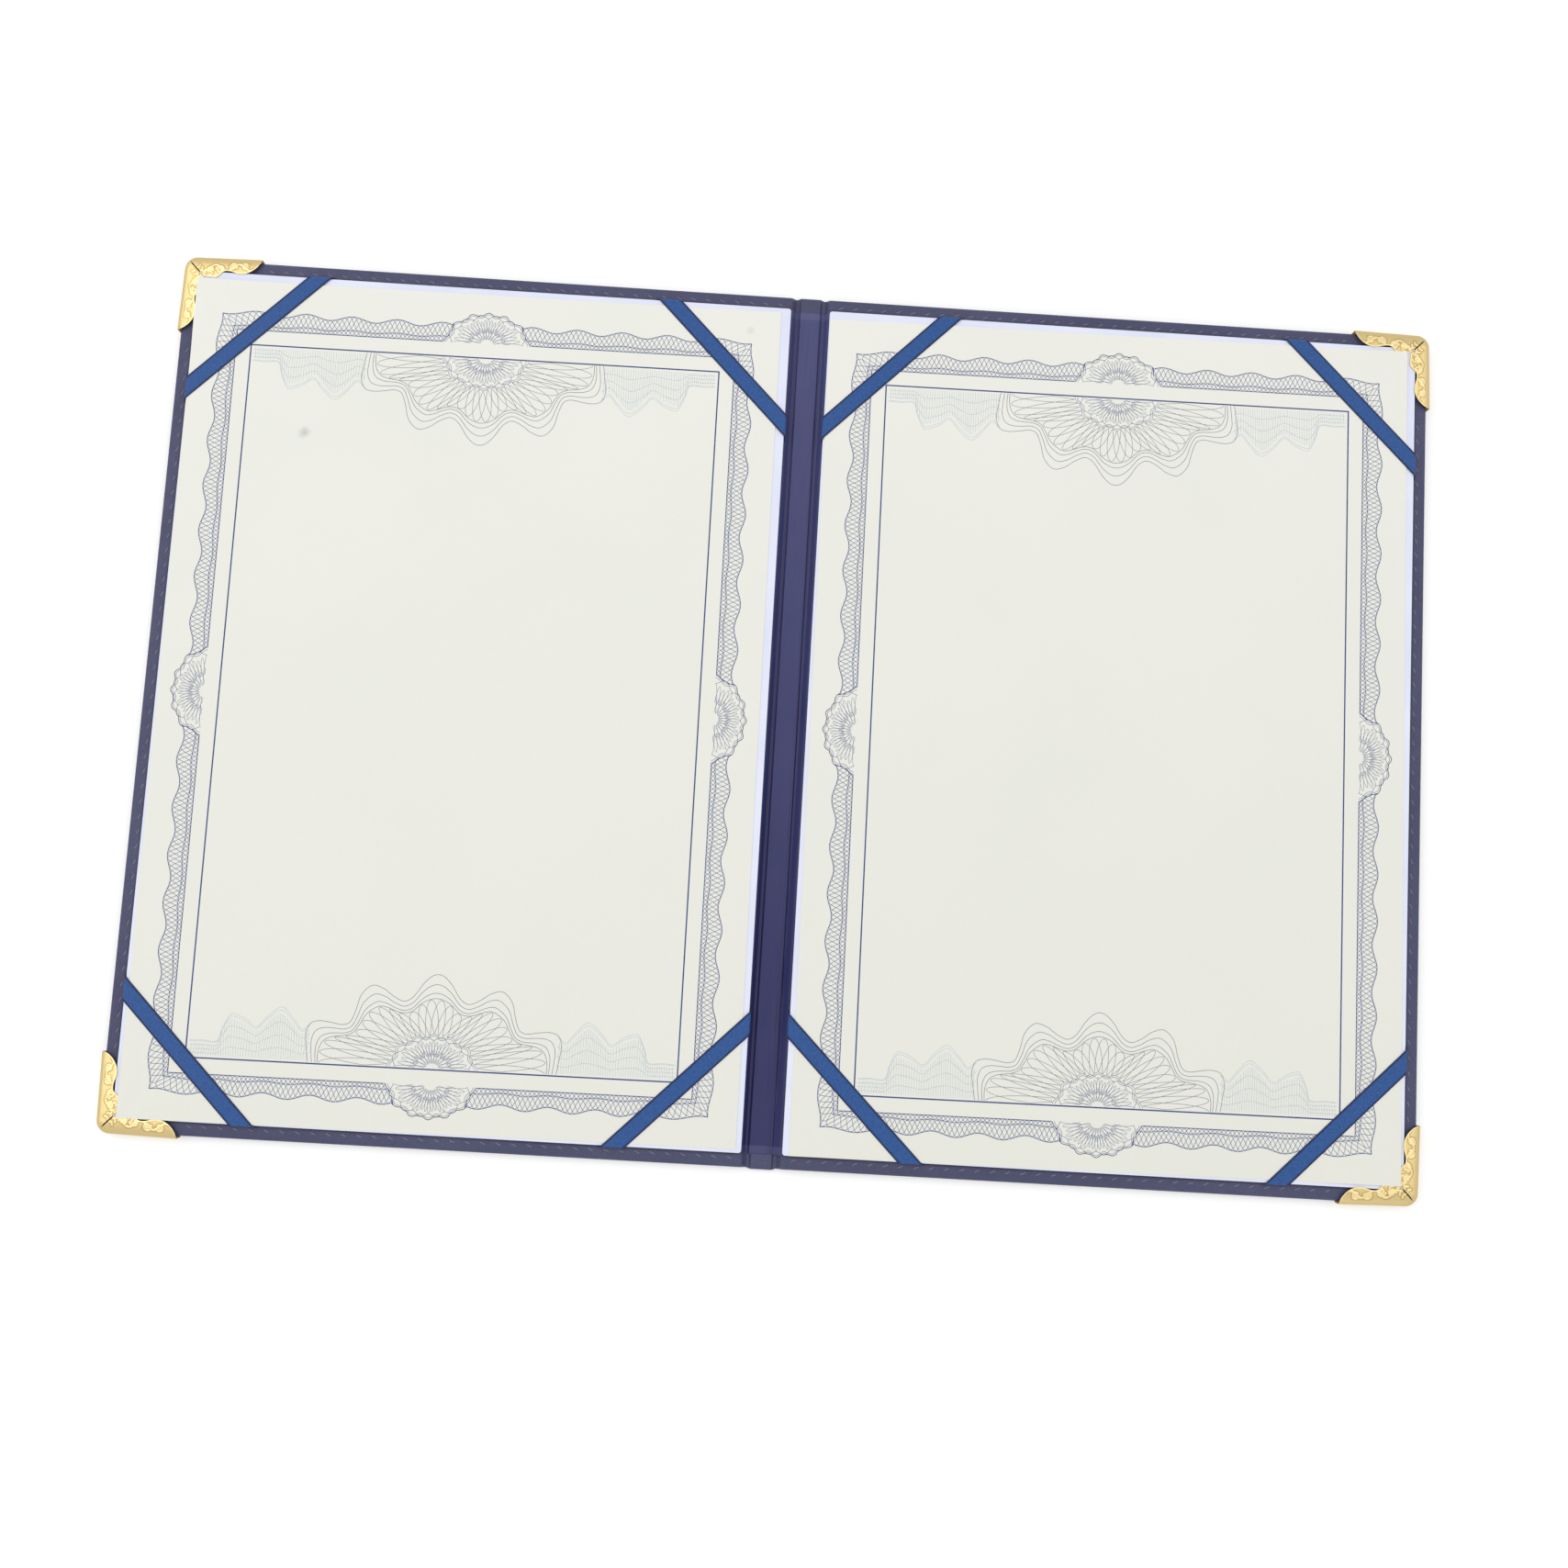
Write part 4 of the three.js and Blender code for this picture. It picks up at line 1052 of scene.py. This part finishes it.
def metalLegShape():
    # Columns run along the leg to the mitre and rows over the section: bottom fold, wall, domed border,
    # flat part. Each column is a straight line in plan, from the outer wall to the scalloped edge.
    edge = scallopedEdge()
    radius = book["cornerRadius"]
    straight = metal["leg"] - radius
    arcLength = (radius + metal["wall"]) * math.pi / 4
    share = (metal["leg"] - edge[:, 0]) / (metal["leg"] - metal["innerCorner"])
    travel = share * (straight + arcLength)
    turn = np.clip((travel - straight) / (radius + metal["wall"]), 0, math.pi / 4)

    def outline(inset):
        # The leg's straight edge and its half of the round corner, drawn in by the inset.
        r = radius - inset
        return np.stack([np.where(travel < straight, metal["leg"] - travel, radius - r * np.sin(turn)),
                         radius - r * np.cos(turn)], -1)

    rows, heights = [], []
    for angle in np.linspace(0, math.pi / 2, 7)[:-1]:
        inset = metal["foldRun"] - (metal["foldRun"] + metal["wall"]) * math.sin(angle)
        height = metal["foldTop"] - (metal["foldTop"] - metal["foldBottom"]) * math.cos(angle)
        rows.append(outline(inset))
        heights.append(np.full(len(edge), height))
    rows.append(outline(-metal["wall"]))
    heights.append(np.full(len(edge), metal["foldTop"]))
    rows.append(outline(-metal["wall"]))
    heights.append(np.full(len(edge), (metal["foldTop"] + book["skinTop"]) / 2))
    wall = outline(-metal["wall"])
    for v in np.concatenate([[0], np.linspace(0, 1, 41)[1:] ** 1.15]):
        rows.append(wall * (1 - v) + edge * v)
        heights.append(None)
    plan = np.array(rows)
    p, q = plan[..., 0], plan[..., 1]
    # Inset from the outer edge: q beside the straight wall, distance to the round corner within its radius.
    inCorner = (p < radius) & (q < radius)
    inset = np.where(inCorner, radius - np.hypot(radius - p, radius - q), np.minimum(p, q))
    rise = metal["top"] - book["skinTop"]
    over = np.clip((metal["border"] - inset) / (metal["border"] + metal["wall"]), 0, 1)
    dome = book["skinTop"] + rise * np.sqrt(np.clip(1 - over ** 2, 0, 1))
    height = np.array([dome[i] if h is None else h for i, h in enumerate(heights)])
    strokes = scrollLines()
    away = np.linalg.norm(plan[:, :, None] - strokes, axis=-1).min(-1)
    toEdge = np.linalg.norm(plan[:, :, None] - edge, axis=-1).min(-1)
    ridge = np.exp(-(away / metal["reliefWidth"]) ** 2)
    ground = -0.35 * smoothStep(away, 0.15, 0.45) * (1 - smoothStep(away, 0.5, 0.95))
    field = smoothStep(inset, 0.9, 1.7) * smoothStep(toEdge, 0.25, 0.7)
    bead = 0.4 * np.exp(-((toEdge - 0.3) / 0.22) ** 2) * smoothStep(inset, 0.6, 1.4)
    relief = (ridge + ground) * field + bead
    isTop = np.array([h is None for h in heights])[:, None]
    relief = np.where(isTop, relief, 0)
    height = height + metal["reliefHeight"] * relief * smoothStep(inset, 0.3, 1.6)
    # The mitre opens from its start: the columns beside it step aside.
    opening = smoothStep(np.minimum(p, q), metal["slitFrom"] - 0.6, metal["slitFrom"] + 0.8) * isTop
    beside = smoothStep(share, 0.9, 1.0)[None]
    slit = metal["slitHalf"] * opening * beside
    p, q = p + slit, q - slit
    return np.stack([p, q, height], -1), relief


def makeCorners(name):
    # A leg and its mirror image across the mitre, in the cover's corner and flared by the cover's skew.
    leg, relief = metalLegShape()
    rows, columns = leg.shape[:2]
    other = leg[..., [1, 0, 2]]
    plan = np.concatenate([leg.reshape(-1, 3), other.reshape(-1, 3)])
    x = book["coverOuter"] - plan[:, 0] + metal["flare"] * plan[:, 1]
    y = book["halfHeight"] - plan[:, 1] + metal["flare"] * plan[:, 0]
    points = np.column_stack([x, y, plan[:, 2]])
    faces = [gridFaces(rows, columns)[:, ::-1], gridFaces(rows, columns) + rows * columns]
    for end, flip in (("head", 1), ("foot", -1)):
        placed = sidePoints(points * np.array([1, flip, 1]), sides[name])
        piece = makePiece(f"{name}Corner{end.title()}", placed, faces, gilt, hinges[name],
                          turned=flip * sides[name] < 0)
        setValues(piece, "relief", np.concatenate([relief.ravel()] * 2))
        mergePoints(piece)
        addThickness(piece, metal["thickness"])
        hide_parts(f"{name}_corner_{end}")


for name in sides:
    makeCorners(name)
print("metal corners are ready")


# Print on the sheets: fine lines of ink, each a low ridge

artwork = {
    "frameX": 84.0,     # half sizes of the frame line's outer edge
    "frameY": 126.25,
    "frameLine": 0.5,
    "clear": 0.2,     # between the frame line and the ornaments
    "bandGap": 5.0,
    "bandWidth": 6.3,
    "bandWave": 0.9,
    "waves": (11, 16),     # of the band's edge along its short and its long sides
    "tip": 5.9,
    "inkBase": 5.502,
    "inkHeight": 0.03,
    "meshPitch": 1.7,
    "meshStrands": 4,
    "stripPitch": 1.5,
    "stripStrands": 2,
    "stripWidth": 1.8,
    "meshLine": 0.18,
    "edgeLine": 0.27,
}

fan = {
    "outer": [(42.3, 0), (43.1, 5), (43.6, 9.6), (42.4, 13), (39.5, 14.1), (35.5, 13.8), (31.5, 13.2),
              (28.9, 14.3), (27.3, 18.2), (25.8, 23.6), (22.4, 27), (18.3, 26.1), (14.8, 23.7), (11.1, 22.2),
              (8, 23.9), (4.9, 28.4), (2.3, 31), (0, 31.8)],
    "inner": [(39, 0), (39.1, 2.6), (38.7, 5.2), (37.4, 7.6), (35.2, 8.8), (32.8, 9.3), (30, 9.7),
              (27.4, 10.9), (25.6, 13.6), (23.4, 17.4), (19.6, 20), (16.6, 19.8), (13.8, 18.8), (10.9, 18.2),
              (8, 19), (4.9, 21.8), (2.3, 23.2), (0, 23.6)],
    "nested": (0, 0.42, 0.78, 1.0),     # ways from the outer outline to the inner one
    "petals": 9,
    "strands": 3,
    "within": 0.985,     # how far the petals reach towards the inner outline
    "clear": 1.02,     # of the rosette's rim, where they start
    "line": 0.2,
}

rosette = {
    "halfLength": 15.5,
    "reach": 11.6,
    "lobes": 12,
    "depth": 0.06,
    "outlines": [(1.0, 0), (0.945, 0), (0.93, 1)],     # size, and 1 where the lobes fall between
    "petals": [(0.38, 0.82, 11), (0.16, 0.5, 6)],     # from and to, as shares of the outline, and how many
    "steps": 397,
    "line": 0.17,
    "lace": 0.13,
}

hills = {
    "outline": [(0.6, 5.4), (5, 5.6), (9.8, 5.6), (11.2, 9.8), (13.3, 14.4), (15, 15), (19, 13.4), (22.8, 11),
                (26.2, 14.6), (30.9, 18.1), (35, 14.6), (38.3, 10.9), (41.2, 13.4)],
    "contours": (1.0, 0.94, 0.72, 0.48, 0.24),     # shares of the ridge's height
    "hatchEnds": (1.2, 40.5),
    "pitch": 0.85,
    "line": 0.14,
    "hatch": 0.13,
}


def smoothThrough(points, steps):
    # Catmull-Rom: each span is the cubic through its ends whose slopes are half the chords beside them.
    p = np.asarray(points, float)
    p = np.concatenate([[2 * p[0] - p[1]], p, [2 * p[-1] - p[-2]]])
    t = np.linspace(0, 1, steps + 1)[:-1, None, None]
    a, b, c, d = p[:-3], p[1:-2], p[2:-1], p[3:]
    bend, twist = 2 * a - 5 * b + 4 * c - d, 3 * b - a - 3 * c + d
    curve = 0.5 * (2 * b + (c - a) * t + bend * t ** 2 + twist * t ** 3)
    return np.concatenate([curve.transpose(1, 0, 2).reshape(-1, 2), p[-2:-1]])


def inkRidges(paths, width):
    # Each path (one row of points) becomes a ridge: left and right at the paper, the middle a little higher.
    paths = np.asarray(paths, float)
    if paths.ndim == 2:
        paths = paths[None]
    along = np.gradient(paths, axis=1)
    along /= np.maximum(np.linalg.norm(along, axis=-1, keepdims=True), 1e-9)
    aside = np.stack([-along[..., 1], along[..., 0]], -1) * width / 2
    count, steps = paths.shape[:2]
    base = np.full((count, steps, 1), artwork["inkBase"])
    left = np.concatenate([paths + aside, base], -1)
    crest = np.concatenate([paths, base + artwork["inkHeight"]], -1)
    right = np.concatenate([paths - aside, base], -1)
    points = np.stack([left, crest, right], 2).reshape(-1, 3)
    start = (np.arange(count)[:, None] * steps + np.arange(steps - 1)).ravel() * 3
    quads = np.concatenate([np.stack([start + a, start + b, start + 3 + b, start + 3 + a], -1)
                            for a, b in ((0, 1), (1, 2), (2, 0))])
    first = np.arange(count) * steps * 3
    last = first + (steps - 1) * 3
    ends = np.concatenate([np.stack([first + 2, first + 1, first], -1),
                           np.stack([last, last + 1, last + 2], -1)])
    return points, quads, ends


def inkPiece(title, name, batches, stuff, node):
    # The ridges of several batches, each of paths and a line width, laid on one sheet as one piece.
    points, quads, ends, shift = [], [], [], 0
    for paths, width in batches:
        p, q, e = inkRidges(paths, width)
        points.append(p)
        quads.append(q + shift)
        ends.append(e + shift)
        shift += len(p)
    points = np.concatenate(points)
    points[:, 1] -= sheets["printDrop"]
    faces = [np.concatenate(quads), np.concatenate(ends)]
    piece = makePiece(f"{name}{title}", placeOnSheet(points, name), faces, stuff, hinges[name],
                      shells=True, smooth=False)
    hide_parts(f"{name}_{node}")


def rosetteRadius(angle, size=1.0, between=0):
    # An ellipse in polar form, with a small cosine of the lobes on it.
    ellipse = 1 / np.hypot(np.cos(angle) / rosette["halfLength"], np.sin(angle) / rosette["reach"])
    lobe = np.cos(rosette["lobes"] * (angle - math.pi / 2) + math.pi * between)
    return size * ellipse * (1 + rosette["depth"] * (lobe - 1))


def rosetteRim(angle, margin):
    # The farthest out of the lobed outlines, times a margin.
    return margin * np.max([rosetteRadius(angle, size, between) for size, between in rosette["outlines"]], 0)


def rosetteLines():
    # Lobed outlines that cross at the rim, and petals that swing between two shares of the outline.
    angle = np.linspace(0, math.pi, 181)
    lines = []
    for size, between in rosette["outlines"]:
        r = rosetteRadius(angle, size, between)
        lines.append(np.stack([r * np.cos(angle), r * np.sin(angle)], -1))
    fine = np.linspace(0, math.pi, rosette["steps"])
    petals = []
    for phase in (0, math.pi):
        for low, high, spokes in rosette["petals"]:
            swing = 0.5 + 0.5 * np.cos(2 * spokes * fine + phase)
            r = rosetteRadius(fine) * (low + (high - low) * swing)
            petals.append(np.stack([r * np.cos(fine), r * np.sin(fine)], -1))
    return np.array(lines), np.array(petals)


def onSide(along, out, side, x, y):
    # (along, outwards) of one side of a rectangle of half sizes x and y: 0 head, 1 right, 2 foot, 3 left.
    if side == 0:
        return np.stack([along, y + out], -1)
    if side == 1:
        return np.stack([x + out, -along], -1)
    if side == 2:
        return np.stack([-along, -y - out], -1)
    return np.stack([-x - out, along], -1)


def aroundRosette(along, out):
    # Points that would lie under the rosette move straight outwards onto its outline.
    angle = np.linspace(math.pi, 0, 181)
    limit = rosetteRim(angle, 1.0)
    cover = np.interp(along, limit * np.cos(angle), limit * np.sin(angle), left=0, right=0)
    return along, np.maximum(out, cover)


def bandLines():
    # Waves out of step between two edges cross in a mesh. Near a corner they stretch along to meet on its
    # diagonal.
    x = artwork["frameX"] + artwork["bandGap"]
    y = artwork["frameY"] + artwork["bandGap"]
    mesh, strip, edges, inner = [], [], [], []
    for side in range(4):
        half, waves = (x, artwork["waves"][0]) if side % 2 == 0 else (y, artwork["waves"][1])

        def outerEdge(a):
            # The band's width less a cosine, drawn to the tip at the corners.
            phase = 2 * math.pi * waves * (a + 1) / 2
            wave = artwork["bandWidth"] - artwork["bandWave"] * np.cos(phase)
            return wave + (artwork["tip"] - artwork["bandWidth"] + artwork["bandWave"]) * np.abs(a) ** 60

        def dividing(a):
            # The line between the strip and the mesh, a cosine in step with the outer edge.
            return artwork["stripWidth"] - 0.3 * np.cos(2 * math.pi * waves * (a + 1) / 2)

        def lay(a, out):
            # A share a of the side and a way out, stretched towards the corner by a to the power 14.
            along = a * half + np.sign(a) * out * np.abs(a) ** 14
            return onSide(*aroundRosette(along, out), side, x, y)

        def weave(low, high, pitch, strands, steps):
            # Cosines between two edges, one for each strand, an even share of a wave apart.
            cycles = int(round(2 * half / (pitch * strands)))
            a = np.linspace(-1, 1, cycles * steps + 1)
            phase = 2 * math.pi * (cycles * (a + 1) / 2 + np.arange(strands)[:, None] / strands)
            bottom, top = low(a), high(a)
            return lay(np.broadcast_to(a, phase.shape), bottom + (top - bottom) * (0.5 + 0.5 * np.cos(phase)))

        mesh.append((weave(lambda a: dividing(a) + 0.1, lambda a: outerEdge(a) - 0.12, artwork["meshPitch"],
                           artwork["meshStrands"], 22), artwork["meshLine"]))
        strip.append((weave(lambda a: 0.3 + 0 * a, lambda a: dividing(a) - 0.15, artwork["stripPitch"],
                            artwork["stripStrands"], 14), artwork["meshLine"]))
        a = np.linspace(-1, 1, waves * 24 + 1)
        edges.append((lay(a, outerEdge(a)), artwork["edgeLine"]))
        edges.append((lay(a, dividing(a)), artwork["edgeLine"] * 0.7))
        inner.append((lay(a, 0.14 + 0 * a), artwork["edgeLine"]))
    return mesh, strip + edges, inner


def sideRosettes():
    # A rosette in the middle of each side of the band.
    lines, petals = rosetteLines()
    x = artwork["frameX"] + artwork["bandGap"]
    y = artwork["frameY"] + artwork["bandGap"]
    return [(onSide(part[..., 0], part[..., 1], side, x, y), width) for side in range(4)
            for part, width in ((lines, rosette["line"]), (petals, rosette["lace"]))]


def alongLine(line, shares):
    # Points at these shares of the line's length.
    travel = np.concatenate([[0], np.cumsum(np.hypot(*np.diff(line, axis=0).T))])
    return np.stack([np.interp(shares * travel[-1], travel, line[:, k]) for k in (0, 1)], -1)


def fanLines():
    # Nested outlines between the two drawn ones, and petals that swing between the rosette and the inner
    # outline.
    whole = []
    for half in (fan["outer"], fan["inner"]):
        half = np.array(half, float)
        whole.append(smoothThrough(np.concatenate([half, half[-2::-1] * np.array([-1, 1])]), 8))
    outlines = np.array([whole[0] * (1 - t) + whole[1] * t for t in fan["nested"]])
    turn = np.linspace(0, math.pi, 181)
    around = rosetteRim(turn, fan["clear"])
    ring = np.stack([around * np.cos(turn), around * np.sin(turn)], -1)
    fine = np.linspace(0, 1, fan["petals"] * 48 + 1)
    reach = alongLine(whole[1], fine) * fan["within"]
    start = alongLine(ring, fine)
    petals = []
    for phase in 2 * math.pi * np.arange(fan["strands"]) / fan["strands"]:
        swing = (0.5 + 0.5 * np.cos(2 * math.pi * fan["petals"] * fine + phase)) ** 0.8
        petals.append(start + (reach - start) * swing[:, None])
    return outlines, np.array(petals)


def hillLines():
    # The ridge, contours that fall with it, and upright hatching that leans with it.
    ridge = smoothThrough(hills["outline"], 8)
    contours = np.array([ridge * np.array([1, share]) for share in hills["contours"]])
    at = np.arange(*hills["hatchEnds"], hills["pitch"])
    top = np.interp(at, ridge[:, 0], ridge[:, 1]) * 0.9
    t = np.linspace(0, 1, 15)
    lean = 0.5 * np.sin(at / 3.1)
    waver = 0.07 * np.sin(7 * t + 0.6 * at[:, None])
    hatch = np.stack([at[:, None] + lean[:, None] * t + waver, 0.5 + (top[:, None] - 0.9) * t], -1)
    return (contours, hills["line"]), (hatch, hills["hatch"])


def ornamentLines(flip):
    # The foot ornament, or the head one where flip is -1. It stands just inside the frame line.
    inside = artwork["frameLine"] + artwork["clear"]
    base = -artwork["frameY"] + inside
    edge = artwork["frameX"] - inside
    scale = np.array([1, flip])

    def lift(part):
        # Up onto the base, and turned over for the head.
        return (part + np.array([0, base])) * scale

    outlines, petals = fanLines()
    rings, lace = rosetteLines()
    fanBatch = [(lift(outlines), fan["line"]), (lift(petals), fan["line"] * 0.85)]
    roseBatch = [(lift(rings), rosette["line"]), (lift(lace), rosette["lace"])]
    hillBatch = []
    for part, width in hillLines():
        for mirrorX in (1, -1):
            placed = np.stack([mirrorX * (edge - part[..., 0]), base + part[..., 1]], -1) * scale
            hillBatch.append((placed, width))
    return fanBatch, roseBatch, hillBatch


def makePrint(name):
    # The band, the frame line and both ornaments of one sheet.
    mesh, edges, inner = bandLines()
    inkPiece("BandMesh", name, mesh, ink, "print_band")
    inkPiece("BandEdges", name, edges, ink, "print_band")
    inkPiece("BandInnerLine", name, inner, frameInk, "print_band")
    inkPiece("BandRosettes", name, sideRosettes(), ink, "print_band")
    x = artwork["frameX"] - artwork["frameLine"] / 2
    y = artwork["frameY"] - artwork["frameLine"] / 2
    # The head and foot lines run over the corners and the two side lines stop short of them.
    over, short = x + artwork["frameLine"] / 2, y - artwork["frameLine"] / 2
    sidesOfFrame = [np.array([[-over, y], [over, y]]), np.array([[over, -y], [-over, -y]]),
                    np.array([[x, short], [x, -short]]), np.array([[-x, -short], [-x, short]])]
    frameBatch = [(part, artwork["frameLine"]) for part in sidesOfFrame]
    inkPiece("FrameLine", name, frameBatch, frameInk, "print_frame")
    for end, flip in (("Foot", 1), ("Head", -1)):
        fanBatch, roseBatch, hillBatch = ornamentLines(flip)
        node = f"print_ornament_{end.lower()}"
        inkPiece(f"Fan{end}", name, fanBatch, fanInk, node)
        inkPiece(f"Rosette{end}", name, roseBatch, ink, node)
        inkPiece(f"Hills{end}", name, hillBatch, paleInk, node)


for name in sides:
    makePrint(name)
print("print is ready")


# Slanted stitches that show along the borders

stitches = {
    "pitch": 5.25,
    "fromSpine": 11.0,
    "length": 2.4,
    "width": 0.62,
    "height": 0.16,
    "inset": 3.35,     # from the cover's edge
    "slant": 24.0,     # degrees
    "clear": 29.0,     # from each outer corner, which the metal covers
}


def stitchShape(steps=6, ring=6):
    # A short pillow: an ellipse section whose size falls to nothing at both ends.
    t = np.linspace(-1, 1, steps + 1)
    size = np.sqrt(np.clip(1 - t ** 4, 0, 1))
    angle = np.linspace(0, 2 * math.pi, ring, endpoint=False)
    x = np.broadcast_to((t * stitches["length"] / 2)[:, None], (steps + 1, ring))
    y = size[:, None] * np.cos(angle) * stitches["width"] / 2
    z = size[:, None] * np.sin(angle) * stitches["height"]
    return np.stack([x, y, z], -1), gridFaces(steps + 1, ring, closed=True)


def makeStitches(name):
    # Copies of one stitch at an even pitch along the foot, the outer side and the head, each turned to
    # its side and slanted.
    x1 = book["coverOuter"] - stitches["inset"]
    y1 = book["halfHeight"] - stitches["inset"]
    legX = np.arange(stitches["fromSpine"], book["coverOuter"] - stitches["clear"], stitches["pitch"])
    clearY = book["halfHeight"] - stitches["clear"]
    sideY = np.arange(-clearY, clearY, stitches["pitch"])
    places = np.concatenate([
        np.column_stack([legX, np.full(len(legX), -y1), np.full(len(legX), 0.0)]),
        np.column_stack([np.full(len(sideY), x1), sideY, np.full(len(sideY), math.pi / 2)]),
        np.column_stack([legX, np.full(len(legX), y1), np.full(len(legX), math.pi)]),
    ])
    shape, faces = stitchShape()
    flat = shape.reshape(-1, 3)
    angle = places[:, 2] + math.radians(stitches["slant"])
    c, s = np.cos(angle)[:, None], np.sin(angle)[:, None]
    px = places[:, :1] + c * flat[:, 0] - s * flat[:, 1]
    py = places[:, 1:2] + s * flat[:, 0] + c * flat[:, 1]
    pz = np.broadcast_to(book["skinTop"] + flat[:, 2], px.shape)
    points = np.stack([px, py, pz], -1).reshape(-1, 3)
    every = (np.arange(len(places)) * len(flat))[:, None, None] + faces[None]
    piece = makePiece(f"{name}Stitches", sidePoints(points, sides[name]), every.reshape(-1, 4), stitchHighlightStuff,
                      hinges[name], shells=True)
    mergePoints(piece)


for name in sides:
    makeStitches(name)
print("stitches are ready")


# Carried-over cores

cores = {"spine_stiffener": greyBoard}
for name in sides:
    cores[f"{name}_foam_pad"] = foam
    cores[f"{name}_board"] = greyBoard
for node, stuff in cores.items():
    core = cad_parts[node]
    core.data.materials.clear()
    core.data.materials.append(stuff)
print("cores are ready")
